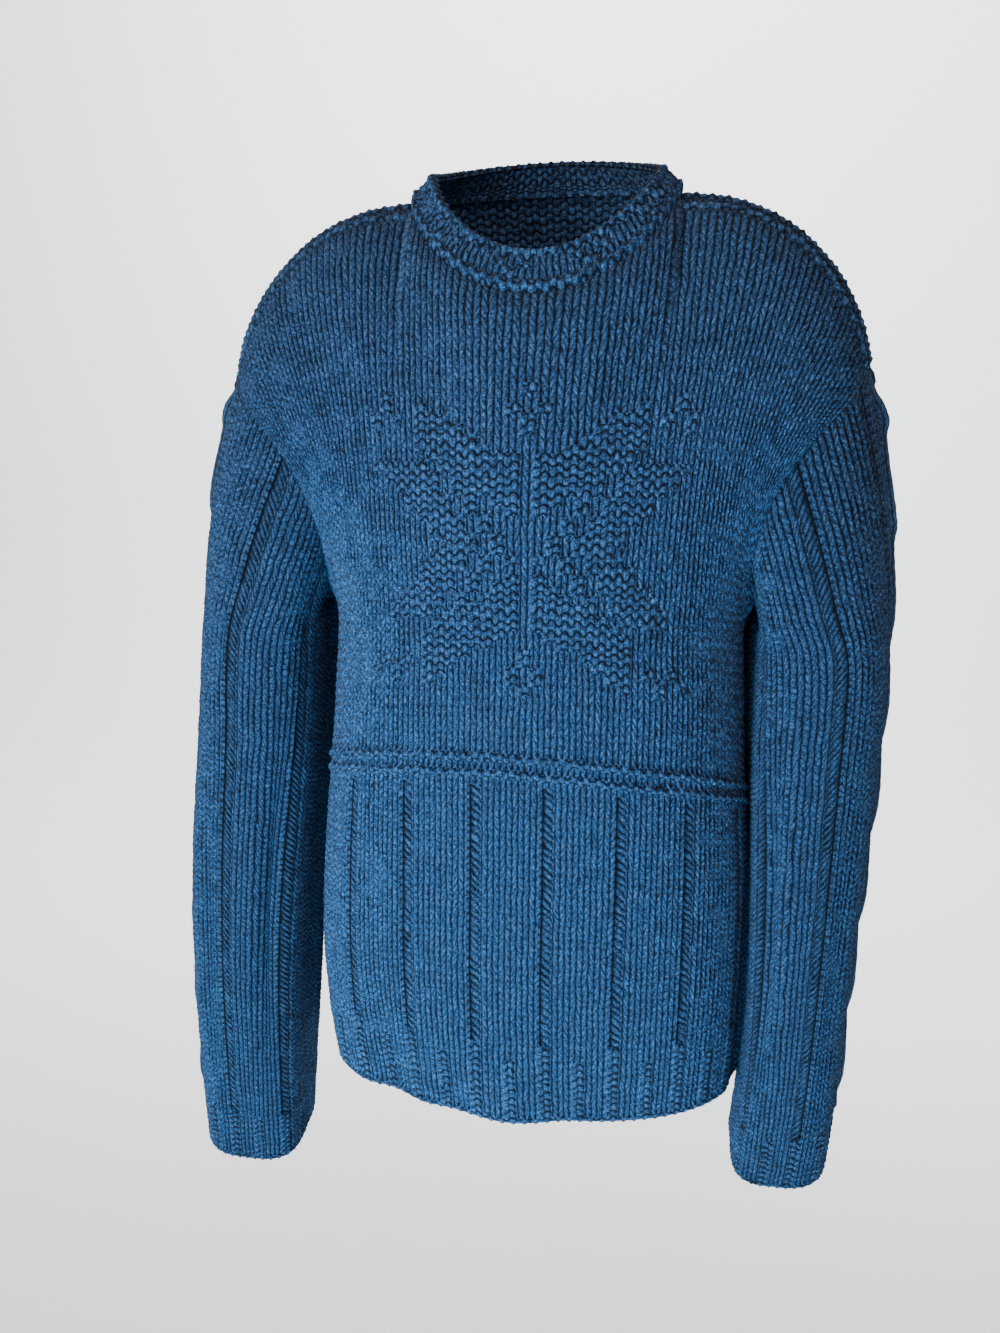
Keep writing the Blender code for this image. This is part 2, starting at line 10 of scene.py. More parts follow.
import bpy
import numpy as np
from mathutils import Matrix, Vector


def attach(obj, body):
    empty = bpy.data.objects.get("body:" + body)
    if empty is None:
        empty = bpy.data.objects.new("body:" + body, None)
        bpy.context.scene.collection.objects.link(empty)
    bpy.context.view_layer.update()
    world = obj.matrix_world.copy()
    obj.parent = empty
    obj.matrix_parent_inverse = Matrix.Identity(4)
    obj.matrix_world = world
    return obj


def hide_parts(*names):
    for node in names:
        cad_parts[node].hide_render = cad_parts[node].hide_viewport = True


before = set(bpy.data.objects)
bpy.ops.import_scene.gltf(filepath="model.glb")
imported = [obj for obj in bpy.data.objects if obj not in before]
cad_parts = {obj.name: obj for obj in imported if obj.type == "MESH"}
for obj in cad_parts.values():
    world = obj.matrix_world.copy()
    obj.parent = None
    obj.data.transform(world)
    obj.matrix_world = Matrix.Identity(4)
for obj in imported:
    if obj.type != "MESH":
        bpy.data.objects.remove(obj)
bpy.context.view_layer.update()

MM = 0.001

# Lean of the shoulders
LEAN = 7.0
LEAN_SPAN, LEAN_FADE = 238.0, 260.0

# The cloth: its wall in the solids, the gap at its seams, and the way a sleeve is moved by that gap
WALL = 3.6
SEAM_GAP = 0.3
PASSAGE = (0.91, 0.0, -0.41)

# The cloth's edges: how near a seam the knitting flattens, and how an open edge rounds off and thins
SEAM_FLAT = 4.0
EDGE_ROUND, EDGE_THIN = 4.0, 0.4

# The knitting: its gauge, and the stitches and rows of points of each piece
PANEL_STITCHES = 54
HALF = PANEL_STITCHES / 2
STITCH_WIDTH = 9.4
ROW_HEIGHT = 6.7
PER_STITCH = 4
PANEL_ROWS = 400
SLEEVE_STITCHES = 40
SLEEVE_ROWS = 392
BAND_STITCHES = 60
BAND_ROWS = 24
INSIDE_EVERY = 4

# Yarn relief: how far each kind of stitch stands out from the ground, and how far the ground is sunk
KNIT_RISE = 3.0
PURL_RISE = 2.4
RUNG_RISE = 2.25
YARN_SINK = 1.7
FIGURE_LIFT = 0.9

# The run of the yarn in a stitch, the hand in it, and the loops at an open edge
LEG_SLOPE, LEG_STROKE = 2.7, 0.2
BEAD_ARCH, BEAD_DIP, BEAD_SHARP, BEAD_FLOOR = 0.25, 0.2, 0.7, 0.2
RUNG_SLOPE = 1.1
UNEVEN, UNEVEN_TABLE = 0.12, (97, 89)
SCALLOP, SCALLOP_DEPTH = 1.3, 7.0

# The layout that the finish is baked in: how far across, and the bands up it for outside, inside and rims
BAKE_ACROSS = (0.01, 0.99)
BAKE_OUTSIDE, BAKE_INSIDE = (0.01, 0.70), (0.72, 0.92)
BAKE_RIMS = ((0.935, 0.945), (0.950, 0.960), (0.965, 0.975), (0.980, 0.990))

# Heights on a panel, up from the hem
HEM_BAND = 60.0
BEAD_BAND = 76.0
RIDGE_LOW, RIDGE_HIGH, RIDGE_TOP = 316.0, 337.0, 345.0

# How far the ridges at the waist and shoulders stand out
RIDGE_RISE = 2.2

# The waist ridges: their rows of purl and half width, and how the rows near them sag towards the sides
WAIST_PURLS, WAIST_BEAD = (47, 49), 5.5
SAG, SAG_MIDDLE, SAG_REACH = 20.0, -4.0, 200.0

# The skirt's ladders, in stitches, and the bead columns of the band below them
LADDER_FIRST = 2.5
LADDER_EVERY = 6
LADDER_DEPTH = 1.2
BEADS_EVERY = 3

# The star, from its middle
STAR_STITCH = 0.5
STAR_HEIGHT = 488.0
RAY_START, RAY_SLOPE = 16.0, 0.56
RAY_REACH, RAY_WIDTH = 80.0, 38.0
SIDE_RAY_PURL = 30.0
SIDE_RAY_WIDTH, SIDE_RAY_REACH, SIDE_RAY_GAP = 54.0, 62.0, 4.0
CORNER_ACROSS, CORNER_UP, CORNER_HALF = 106.0, 88.0, 18.0

# Shoulder ridges, down from the shoulder seam
SHOULDER_RIDGES = (8.0, 22.0)
SHOULDER_RIDGE_HALF = 6.0
SHOULDER_BEAD = 9.0

# Points on the fine lines that the cloth is measured along
SHOULDER_POINTS, ARMHOLE_POINTS = 200, 161
SECTION_POINTS, SIDE_POINTS, PANEL_POINTS = 241, 261, 420
RING_POINTS, SLEEVE_POINTS = 181, 400

# Rows that fix the knitting's place on a panel
HEM_ROWS = (0.0, 4.0, 18.0, 32.0, 46.0, HEM_BAND)
SKIRT_ROWS = (105.0, 150.0, 195.0, 240.0, 285.0)
RIDGE_ROWS = (308.0, RIDGE_LOW, 322.0, 331.0, RIDGE_HIGH, RIDGE_TOP)
CHEST_ROWS, CHEST_SPAN = 5, 92.0
ARMHOLE_ROWS, ROW_STEP = 5, 24.5
DROPS = (50.0, 32.0, SHOULDER_RIDGES[1], 15.0, SHOULDER_RIDGES[0], 0.0)
EDGE_FROM = 0.80
FACING_BLEND = 16.0

# The neckline, and how evenly the stitches are spread along it
NECK_STITCHES = 9.5
NECK_SHARE = NECK_STITCHES / HALF
NECK_EVEN = 0.75
NECK_CURVE = 1.5
NECK_BASE = dict(half=96.0, front=(-82.0, -50.0), side=(2.0, 13.0), back=(85.0, 20.0))
NECK_TOP = dict(half=77.0, front=(-65.0, -22.0), side=(3.0, 30.0), back=(72.0, 44.0))
NECK_MIDDLE_FACING = (0.0, 0.86, 0.51)
NECK_SIDE_FACING = (0.36, 0.0, 0.93)
NECK_SIDE_FADE = 2.5

# The neckband: its bow, how it is set down into the neckline, its blocks, and its beaded edge and seam
BAND_BOW = 2.5
BAND_GAP = -1.2
BAND_RISE = 1.7
BAND_BLOCK = 3
BAND_EDGE, BAND_RIDGE = 8.0, 8.5
BAND_EDGE_HALF, BAND_RIDGE_HALF = 5.0, 5.5
BAND_BEAD = 1.3
BAND_TOP_ROUND, BAND_BASE_ROUND, BAND_BASE_THIN = 3.5, 3.0, 0.6

# Shoulder seam, from the neck to the armhole
SHOULDER = [
    # x, z
    (96.0, 13.0),
    (136.0, 6.0),
    (172.0, -10.0),
    (203.0, -37.0),
    (225.0, -70.0),
    (238.0, -106.0),
]

# Front half of the armhole, from the shoulder seam round to the underarm
ARMHOLE = [
    # x, forward, z, then the way the cloth faces: out, forward, up
    (238.0, 0.0, -106.0, 0.85, 0.00, 0.52),
    (221.0, 42.0, -125.0, 0.62, 0.74, 0.26),
    (192.0, 66.0, -154.0, 0.36, 0.93, 0.06),
    (166.0, 70.0, -196.0, 0.06, 0.99, -0.10),
    (161.0, 46.0, -241.0, 0.00, 0.86, -0.51),
    (172.0, 0.0, -272.0, 0.00, 0.00, -1.00),
]
ARMHOLE_BACK = 0.92

# Sections of the body below the underarm
BODY = [
    # middle z, side z, half width, front depth, back depth, middle x
    (-284.0, -294.0, 157.0, 132.0, 92.0, 0.0),
    (-330.0, -350.0, 161.0, 134.0, 92.0, 0.0),
    (-385.0, -440.0, 169.0, 130.0, 97.0, -1.0),
    (-470.0, -515.0, 180.0, 125.0, 104.0, -2.0),
    (-560.0, -594.0, 186.0, 123.0, 108.0, -3.0),
    (-640.0, -662.0, 185.0, 121.0, 108.0, -2.0),
    (-700.0, -712.0, 181.0, 117.0, 104.0, 0.0),
]
BODY_SQUARENESS = 2.35
SIDE_DROOP = 2.2
SIDE_SLACK = 0.13
SLACK_TOP = 600.0

# Fullness of the upper body
CHEST_SHARES = (0.0, 0.08, 0.2, 0.36, 0.54, 0.72, 0.88)
CHEST_FULL = {"front": 24.0, "back": 20.0}
CHEST_CROWN = 6.0
CHEST_BIAS, CROWN_BIAS = 0.8, 0.6
SHOULDER_FULL, SHOULDER_CROWN = 18.0, 11.0
SHOULDER_FROM, SHOULDER_SPAN = 0.2, 0.35
EDGE_BLEND = 2.4
NECK_FADE, NECK_EASE, EASE_SAMPLES = 0.35, 0.35, 15

# Hanging folds and creases of the body
BODY_FOLDS = [
    # panel, stitch, middle height, reach, depth, half width in stitches
    ("front", -23.0, 100.0, 240.0, -6.0, 3.0),
    ("front", 23.0, 90.0, 230.0, -6.0, 3.0),
    ("front", -1.0, 0.0, 120.0, 8.0, 6.0),
    ("front", -12.5, 20.0, 130.0, -6.0, 4.0),
    ("back", -15.0, 230.0, 190.0, -7.0, 4.0),
    ("back", 0.0, 210.0, 160.0, 5.0, 6.0),
    ("back", 14.0, 210.0, 190.0, -8.0, 4.0),
]
FOLD_FADE = 2.5

# Sections of the sleeves below the underarm, outside the cloth. The left sleeve lies a few millimetres
# closer to the body than its solid does, so that no light shows between them
SLEEVES = {
    "sleeve_right": [
        # z, outer x, inner x, middle y, depth, and how far its back hugs the body
        (-310.0, -274.0, -178.0, -6.0, 150.0, 32.0),
        (-400.0, -285.0, -184.0, -12.0, 140.0, 32.0),
        (-500.0, -296.0, -194.0, -22.0, 127.0, 32.0),
        (-600.0, -302.0, -203.0, -31.0, 115.0, 32.0),
        (-700.0, -302.0, -208.0, -40.0, 104.0, 26.0),
        (-799.0, -300.0, -211.0, -46.0, 94.0, 14.0),
    ],
    "sleeve_left": [
        (-310.0, 270.0, 171.5, -8.0, 154.0, 36.0),
        (-400.0, 270.0, 173.6, -20.0, 144.0, 32.0),
        (-500.0, 266.0, 179.6, -34.0, 131.0, 18.0),
        (-600.0, 262.0, 184.0, -46.0, 118.0, 14.0),
        (-690.0, 260.0, 183.0, -54.0, 107.0, 14.0),
        (-758.0, 257.0, 178.0, -58.0, 97.0, 14.0),
    ],
}
SLEEVE_SQUARENESS = 2.4
SLEEVE_HUG = 14.0
CROWN_SHARES = (0.33, 0.66)
CROWN_FULL = 8.0
UNDERARM_FULL, UNDERARM_FROM, UNDERARM_SPAN = 5.0, 0.55, 0.3
SLEEVE_FOLDS = [
    # place, middle and reach down the sleeve out of 1, depth, half width
    (0.66, 0.55, 0.42, -9.0, 0.10),
    (0.36, 0.65, 0.33, -4.0, 0.10),
    (-0.40, 0.58, 0.38, -8.0, 0.10),
    (-0.74, 0.45, 0.34, -6.0, 0.10),
]
SLEEVE_LADDERS = (3, 9, 15)

# The rope cable down the outer line of each sleeve, and the cuff's band
CABLE_TURN = 78.0
CABLE_SWING = 13.0
CABLE_STRAND = 10.0
CABLE_RISE, CABLE_CROSS, CABLE_FADE = 5.0, 0.25, 30.0
CABLE_SHOWN, CABLE_YARN = 0.3, 1.5
CUFF_BAND, CUFF_EDGE = 56.0, 0.8
SLEEVE_ROW = 6.2

# The wool: the dark and the light fibre of its heather, and how much of that colour each wool material
# keeps. The sleeves keep less: painted shade, as they are knitted from the same yarn as the body
NAVY = (0.005, 0.016, 0.046)
DENIM = (0.040, 0.118, 0.270)
WOOLS = (("body_wool", 1.0), ("sleeve_wool_painted_shade", 0.80))
FIBRE_EDGES = (0.43, 0.58)
WOOL_SURFACE = {
    "Roughness": 0.95,
    "Specular IOR Level": 0.12,
    "Sheen Weight": 0.12,
    "Sheen Roughness": 0.5,
    "Sheen Tint": (0.40, 0.58, 0.82, 1.0),
}
WOOL_BUMP = {"Strength": 0.9, "Distance": 0.0018}

# The wool's noises: how many to the metre, detail and roughness
DRIFT_NOISE, CLIMB_NOISE = (70.0, 1.0, 0.5), (45.0, 2.0, 0.6)
PATCH_NOISE, FIBRE_NOISE, FUZZ_NOISE = (140.0, 2.0, 0.6), (700.0, 3.0, 0.8), (900.0, 3.0, 0.75)

# How far the drawn yarn strays from its stitch, across and along, and how much of the bump is fuzz
DRIFT, CLIMB, FUZZ = 0.30, 1.6, 0.45

# The yarn as it is drawn: strokes on the legs, rungs, and where one kind of stitch changes to the next
STROKE_SHARE, RUNG_SHARE = 0.62, 0.72
KIND_CHANGE = (0.35, 0.65)

# Painted shade and painted highlight over the yarn's height, darkest in the grooves between stitches and
# lightest on the yarn's crests, and the brightness of the wool's patches of colour: the lowest and
# highest value read, and what they become
PAINTED_GROOVE_SHADE_AND_HIGHLIGHT = (0.10, 0.78, 0.05, 1.36)
PATCH_BRIGHT = (0.3, 0.7, 0.72, 1.28)

# Camera, from the photograph: pixels of a 1000 x 1333 frame, degrees and metres
FOCAL_PIXELS = 1150.0
FRAME_WIDTH, FRAME_HEIGHT = 1000.0, 1333.0
NECK_PIXEL = 545.0
CAMERA_AZIMUTH, CAMERA_PITCH = 6.0, 19.0
CAMERA_DISTANCE, CAMERA_HEIGHT = 0.90, -0.035
SENSOR = 36.0

# The studio, in metres: a paper sweep that bends up behind the sweater, and the lamps
FLOOR = -1.30
SWEEP_FRONT, SWEEP_BACK, SWEEP_TOP, SWEEP_SIDE = -4.0, 1.6, 4.0, 5.0
BEND_RADIUS, BEND_STEPS = 1.0, 12
PAPER = {
    "Base Color": (0.90, 0.90, 0.90, 1.0),
    "Roughness": 0.9,
    "Emission Color": (1.0, 1.0, 1.0, 1.0),
    "Emission Strength": 0.45,
}
SURROUND = {"Color": (0.93, 0.96, 1.0, 1.0), "Strength": 0.13}
LAMPS = (
    # name, place, the point it faces, size, watts, colour
    ("key", (-1.2, -1.9, -0.1), (0.0, 0.0, -0.35), 0.9, 38.0, (1.0, 0.90, 0.90)),
    ("top", (0.1, -1.6, 1.1), (0.0, 0.0, -0.1), 1.2, 25.0, (1.0, 0.68, 0.60)),
    ("low", (-0.3, -1.3, -1.2), (0.0, 0.0, -0.65), 0.8, 46.0, (0.16, 0.72, 1.0)),
    ("backdrop", (0.0, 1.0, 1.2), (0.0, 2.6, 0.6), 3.0, 160.0, (1.0, 1.0, 1.0)),
)


def smooth(values, at):
    """A smooth curve through evenly numbered rows of values, read at fractional row numbers."""
    values = np.asarray(values, float)
    slopes = np.gradient(values, axis=0)
    low = np.clip(np.floor(at).astype(int), 0, len(values) - 2)
    t = (at - low).reshape((-1,) + (1,) * (values.ndim - 1))
    return (
        values[low] * (2 * t**3 - 3 * t**2 + 1)
        + values[low + 1] * (3 * t**2 - 2 * t**3)
        + slopes[low] * (t**3 - 2 * t**2 + t)
        + slopes[low + 1] * (t**3 - t**2)
    )


def smooth_line(values, count):
    return smooth(values, np.linspace(0, len(values) - 1, count))


def lengths_along(points):
    """Distance from the first row of points, along each column of them."""
    steps = np.linalg.norm(np.diff(points, axis=0), axis=-1)
    return np.concatenate([np.zeros((1,) + steps.shape[1:]), np.cumsum(steps, axis=0)])


def read_line(points, distances):
    """Points at given distances along a fine line."""
    along = lengths_along(points)
    columns = [np.interp(distances, along, points[:, k]) for k in range(points.shape[1])]
    return np.stack(columns, -1)


def unit(vectors):
    return vectors / np.maximum(np.linalg.norm(vectors, axis=-1, keepdims=True), 1e-9)


def hump(x):
    """1 at 0, falling smoothly to 0 at 1 either way."""
    return np.cos(np.clip(x, -1, 1) * math.pi / 2) ** 2


def ease(x):
    x = np.clip(x, 0.0, 1.0)
    return x * x * (3 - 2 * x)


def neck_point(places, angle, side):
    """A point of a neck loop: angle 0 is its middle front or back, a right angle is the shoulder."""
    middle = places["front"] if side < 0 else places["back"]
    turn = math.cos(angle)
    y = places["side"][0] + (middle[0] - places["side"][0]) * turn
    z = places["side"][1] + (middle[1] - places["side"][1]) * max(turn, 0.0) ** NECK_CURVE
    return np.array([places["half"] * math.sin(angle), y, z])


def neck_facing(angle, side):
    """The way the cloth faces along the neckline seam."""
    turn = math.cos(angle)
    middle = np.array(NECK_MIDDLE_FACING) * [1, side, 1]
    shoulder = np.array(NECK_SIDE_FACING) * [np.sign(math.sin(angle)), 1, 1]
    return unit(turn * middle + (1 - turn) * shoulder)


def neck_angle(across):
    """The turn round the neckline of each stitch, the columns spread nearly evenly from side to side."""
    share = np.clip(across / NECK_SHARE, -1, 1)
    return (1 - NECK_EVEN) * share * math.pi / 2 + NECK_EVEN * math.asin(share)


def armhole_line(side):
    """Fine points and facings of one half of the armhole at +X, from the shoulder to the underarm."""
    line = smooth_line(ARMHOLE, ARMHOLE_POINTS)
    depth = side * (ARMHOLE_BACK if side > 0 else 1.0)
    return line[:, :3] * [1, depth, 1], unit(line[:, 3:] * [1, side, 1])


def top_edge(across, side):
    """Points and facings of a panel's top edge: neckline in the middle, shoulder seams beyond."""
    seam = smooth_line(SHOULDER, SHOULDER_POINTS)
    length = lengths_along(seam)[-1]
    slopes = unit(np.gradient(seam, axis=0))
    table = np.column_stack([seam, slopes])
    points, facings = [], []
    for u in across:
        if abs(u) < NECK_SHARE + 1e-6:
            points.append(neck_point(NECK_BASE, neck_angle(u), side))
            facings.append(neck_facing(neck_angle(u), side))
            continue
        share = (abs(u) - NECK_SHARE) / (1 - NECK_SHARE)
        x, z = read_line(seam, share * length)
        slope = read_line(table, share * length)[2:]
        y = NECK_BASE["side"][0] * (1 - ease(share * NECK_SIDE_FADE))
        points.append((math.copysign(x, u), y, z))
        facings.append((math.copysign(-slope[1], u), 0.0, slope[0]))
    return np.array(points), unit(np.array(facings))


def eased_top(across, side):
    """The top edge with its corner at the neck rounded off, which the chest below it follows."""
    offsets = np.linspace(-NECK_EASE, NECK_EASE, EASE_SAMPLES)[1:-1]
    weights = hump(offsets / NECK_EASE)
    inward = np.minimum((1 - np.abs(across)) / offsets[-1], 1)
    total = 0
    for offset, weight in zip(offsets, weights):
        total = total + weight * top_edge(across + offset * inward, side)[0]
    return total / weights.sum()


def body_section(row, across, side):
    """One section of a panel below the underarm, its stitches evenly spread from seam to seam."""
    middle_z, side_z, half, front, back, middle_x = row
    depth = front if side < 0 else back
    angle = np.linspace(-math.pi / 2, math.pi / 2, SECTION_POINTS)
    power = 2 / BODY_SQUARENESS
    curve_x = half * np.sign(np.sin(angle)) * np.abs(np.sin(angle)) ** power
    curve_y = side * depth * np.abs(np.cos(angle)) ** power
    curve = np.column_stack([curve_x, curve_y])
    spread = read_line(curve, (across + 1) / 2 * lengths_along(curve)[-1])
    z = middle_z + (side_z - middle_z) * np.abs(across) ** SIDE_DROOP
    return np.column_stack([spread[:, 0] + middle_x, spread[:, 1], z])


def panel_lines(across, side):
    """Fine lines down a panel between its edges, one for each place across."""
    top, _ = top_edge(across, side)
    eased = eased_top(across, side)
    under = body_section(BODY[0], across, side)
    arm, _ = armhole_line(side)
    full = CHEST_FULL["front" if side < 0 else "back"]
    near_edge = (np.abs(across) ** EDGE_BLEND)[:, None]
    mirror = np.column_stack([np.sign(across), np.ones((len(across), 2))])
    rows = []
    for t in CHEST_SHARES:
        bow = read_line(arm, t * lengths_along(arm)[-1]) - (arm[0] * (1 - t) + arm[-1] * t)
        swell = full * math.sin(math.pi * t**CHEST_BIAS)
        crown = CHEST_CROWN * math.sin(math.pi * t**CROWN_BIAS)
        over = ease((np.abs(across) - SHOULDER_FROM) / SHOULDER_SPAN)
        over = over * math.sin(math.pi * math.sqrt(t)) * (1 - t)
        forward = side * (swell + SHOULDER_FULL * over)
        chest = np.column_stack([0 * over, forward, crown + SHOULDER_CROWN * over])
        edge_top = top + (eased - top) * ease(t / NECK_FADE)
        rows.append(edge_top * (1 - t) + under * t + near_edge * bow * mirror + (1 - near_edge) * chest)
    rows += [body_section(row, across, side) for row in BODY]
    return smooth_line(rows, PANEL_POINTS)


def side_line(sign):
    """Fine side seam from the underarm to the hem."""
    underarm = np.array(ARMHOLE[-1][:3]) * [sign, 1, 1]
    sections = [body_section(row, np.array([sign]), -1)[0] * [1, 0, 1] for row in BODY]
    return smooth_line([underarm] + sections, SIDE_POINTS)


def column_heights(across, total, seam=None):
    """Knitted heights of one column's fixed rows from the hem up, and where they really hang."""
    underarm = (lengths_along(side_line(-1.0))[-1] + lengths_along(side_line(1.0))[-1]) / 2
    chest = np.linspace(underarm - CHEST_SPAN, underarm, CHEST_ROWS)
    low = np.concatenate([HEM_ROWS, SKIRT_ROWS, RIDGE_ROWS, chest])
    armhole = low[-1] + ROW_STEP * np.arange(1, ARMHOLE_ROWS + 1)
    slack = SIDE_SLACK * abs(across) ** SIDE_DROOP
    if seam:
        hung = np.interp(low, [0.0, RIDGE_TOP, low[-1]], [0.0, RIDGE_TOP * (1 - slack), seam])
        rest = (total - DROPS[0] - seam) * np.arange(1, ARMHOLE_ROWS + 1) / (ARMHOLE_ROWS + 1.5)
        hung = np.concatenate([hung, seam + rest])
    else:
        hung = np.concatenate([low, armhole])
        fade = 1 - ease((hung - RIDGE_TOP) / (SLACK_TOP - RIDGE_TOP))
        hung = hung - slack * np.minimum(hung, RIDGE_TOP) * fade
    top = total - np.array(DROPS)
    between = [(hung[-1] + top[0]) / 2]
    knitted = np.concatenate([low, armhole, between, top])
    return knitted[::-1], total - np.concatenate([hung, between, top])[::-1]


def hanging_folds(side_name, stitch, height):
    """How far a panel's folds stand out, fading to nothing at its side seams."""
    out = np.zeros(stitch.shape)
    for name, at, middle, reach, depth, half in BODY_FOLDS:
        if name == side_name:
            out += depth * hump((stitch - at) / half) * hump((height - middle) / reach)
    return out * ease((HALF - np.abs(stitch)) / FOLD_FADE)


def facings_of(points, wrap=False):
    """The facing at each point of a grid of rows from the top down and places left to right."""
    if wrap:
        padded = np.concatenate([points[:, -1:], points, points[:, :1]], axis=1)
        along = padded[:, 2:] - padded[:, :-2]
    else:
        along = np.gradient(points, axis=1)
    return unit(np.cross(np.gradient(points, axis=0), along))


def panel(name, side):
    """A panel's inside points, facings, and each point's stitch, height and drop from the top edge."""
    stitches = np.linspace(-HALF, HALF, PANEL_STITCHES * PER_STITCH + 1)
    across = stitches / HALF
    lines = panel_lines(across, side)
    totals = lengths_along(lines)[-1]
    tables = [column_heights(u, total) for u, total in zip(across, totals)]
    steps = np.max([np.diff(drops) for _, drops in tables], axis=0)
    reached = np.concatenate([[0], np.cumsum(steps)])
    at = np.interp(np.linspace(0, reached[-1], PANEL_ROWS + 1), reached, np.arange(len(reached)))
    fixed = np.arange(len(reached))

    def along(line, table):
        heights, drops = (np.interp(at, fixed, values) for values in table)
        return np.column_stack([read_line(line, drops), heights, drops])

    grid = np.stack([along(lines[:, k], table) for k, table in enumerate(tables)], 1)
    arm, arm_facing = armhole_line(side)
    edge_facing = []
    for edge, sign in ((0, -1.0), (-1, 1.0)):
        lower = side_line(sign)
        line = np.concatenate([arm[:-1] * [sign, 1, 1], lower])
        total = lengths_along(line)[-1]
        true_edge = along(line, column_heights(sign, total, lengths_along(lower)[-1]))
        weight = ease((sign * across - EDGE_FROM) / (1 - EDGE_FROM))
        grid = grid + weight[None, :, None] * (true_edge - grid[:, edge])[:, None, :]
        arm_reach = lengths_along(arm)
        beside = [np.interp(true_edge[:, 4], arm_reach, arm_facing[:, n]) for n in range(3)]
        below = ease((true_edge[:, 4] - arm_reach[-1]) / FACING_BLEND)[:, None]
        beside = np.stack(beside, -1) * [sign, 1, 1]
        edge_facing.append(unit(beside * (1 - below) + np.array([sign, 0, 0]) * below))
    points, height, drop = grid[..., :3], grid[..., 3], grid[..., 4]
    stitch = np.broadcast_to(stitches, height.shape)
    facings = -side * facings_of(points)
    points = points + facings * hanging_folds(name, stitch, height)[..., None]
    facings = -side * facings_of(points)
    from_side = (HALF - np.abs(stitch)) * STITCH_WIDTH
    near_top = hump(drop / FACING_BLEND)[..., None]
    near_side = hump(from_side / FACING_BLEND)[..., None]
    side_facing = np.where(stitch[..., None] < 0, edge_facing[0][:, None], edge_facing[1][:, None])
    facings = unit(facings * (1 - near_top) + top_edge(across, side)[1][None] * near_top)
    facings = unit(facings * (1 - near_side) + side_facing * near_side)
    return dict(points=points, facings=facings, stitch=stitch, height=height, drop=drop)


# Kinds of stitch, as the wool's material reads them
KNIT, PURL, LADDER = 0.0, 1.0, 2.0


def fraction(x):
    return x - np.floor(x)


def knit(stitch, row):
    """Yarn height of knit stitches, 0 to 1: two legs that rise outward from the middle of each column."""
    out = np.abs(fraction(stitch) - 0.5)
    ridge = np.sin(math.pi * np.clip(out / 0.5, 0, 1))
    climb = fraction(row - LEG_SLOPE * out)
    return ridge * (1 - LEG_STROKE + LEG_STROKE * np.sin(math.pi * climb))


def purl(stitch, row):
    """Yarn height of purl stitches, 0 to 1: arcs up at the middle of each and down between them."""
    wave = np.cos(2 * math.pi * (fraction(stitch) - 0.5))
    bead = np.sin(math.pi * fraction(row - BEAD_ARCH * wave))
    across = BEAD_DIP + (1 - BEAD_DIP) * np.abs(wave) ** BEAD_SHARP
    return BEAD_FLOOR + (1 - BEAD_FLOOR) * bead * across


def rungs(stitch, row):
    """Yarn height in a ladder: slanted bars."""
    slant = fraction(row + RUNG_SLOPE * fraction(stitch))
    return np.sin(math.pi * slant) * np.sin(math.pi * fraction(stitch)) ** 0.5


def scalloped(points, stitch, from_edge):
    """Points with the loops of the edge stitches reaching a little past the edge and back between."""
    way = unit(np.gradient(points, axis=0)) * np.sign(np.gradient(-from_edge, axis=0))[..., None]
    reach = SCALLOP * np.cos(2 * math.pi * (stitch - 0.5)) * hump(from_edge / SCALLOP_DEPTH)
    return points + way * reach[..., None]


def unevenness(stitch, row, seed):
    """The hand in the knitting: how much bigger or smaller each stitch is."""
    table = np.random.default_rng(seed).uniform(-1, 1, UNEVEN_TABLE)
    columns, lines = UNEVEN_TABLE
    column = np.floor(stitch).astype(int) % columns
    line = np.floor(row).astype(int) % lines
    return 1 + UNEVEN * table[column, line]


def rounded(from_edge, reach, thin):
    """The share of its thickness that the cloth has near an open edge, rounding up from thin to 1."""
    inward = np.minimum(from_edge / reach, 1)
    return thin + (1 - thin) * np.sqrt(np.clip(1 - (1 - inward) ** 2, 0, 1))


def star_kinds(stitch, height):
    """Where the star's rays are purl, and where its middle and the small figures round it are moss."""
    x = np.abs(np.floor(stitch) + 0.5 - STAR_STITCH) * STITCH_WIDTH
    y = np.abs((np.floor(height / ROW_HEIGHT) + 0.5) * ROW_HEIGHT - STAR_HEIGHT)
    line = RAY_START + RAY_SLOPE * x
    upright = (x > STITCH_WIDTH / 2) & (x < RAY_REACH) & (y > line) & (y < line + RAY_WIDTH)
    level = (y < line - SIDE_RAY_GAP) & (y < SIDE_RAY_WIDTH) & (x > y) & (x < SIDE_RAY_REACH + y)
    corner = np.abs(x - CORNER_ACROSS) + np.abs(y - CORNER_UP) < CORNER_HALF
    tip = x + np.abs(y - CORNER_UP) < CORNER_HALF
    outer = x - y > SIDE_RAY_PURL
    return upright | (level & outer), (level & ~outer) | corner | tip


def moss(stitch, row):
    """Where moss stitch has its purls: every other stitch, changing over every two rows."""
    return (np.floor(stitch) + np.floor(row / 2)) % 2 == 0


def yarn(stitch, row, purled, laddered):
    """How far the yarn stands out, how far the cloth under it does, and the kind of each stitch."""
    height = np.where(purled, purl(stitch, row), knit(stitch, row))
    height = np.where(laddered, rungs(stitch, row), height)
    lift = FIGURE_LIFT * purled - LADDER_DEPTH * laddered
    rise = np.where(purled, PURL_RISE, KNIT_RISE)
    rise = np.where(laddered, RUNG_RISE, rise)
    return height * rise, lift, np.where(laddered, LADDER, np.where(purled, PURL, KNIT))


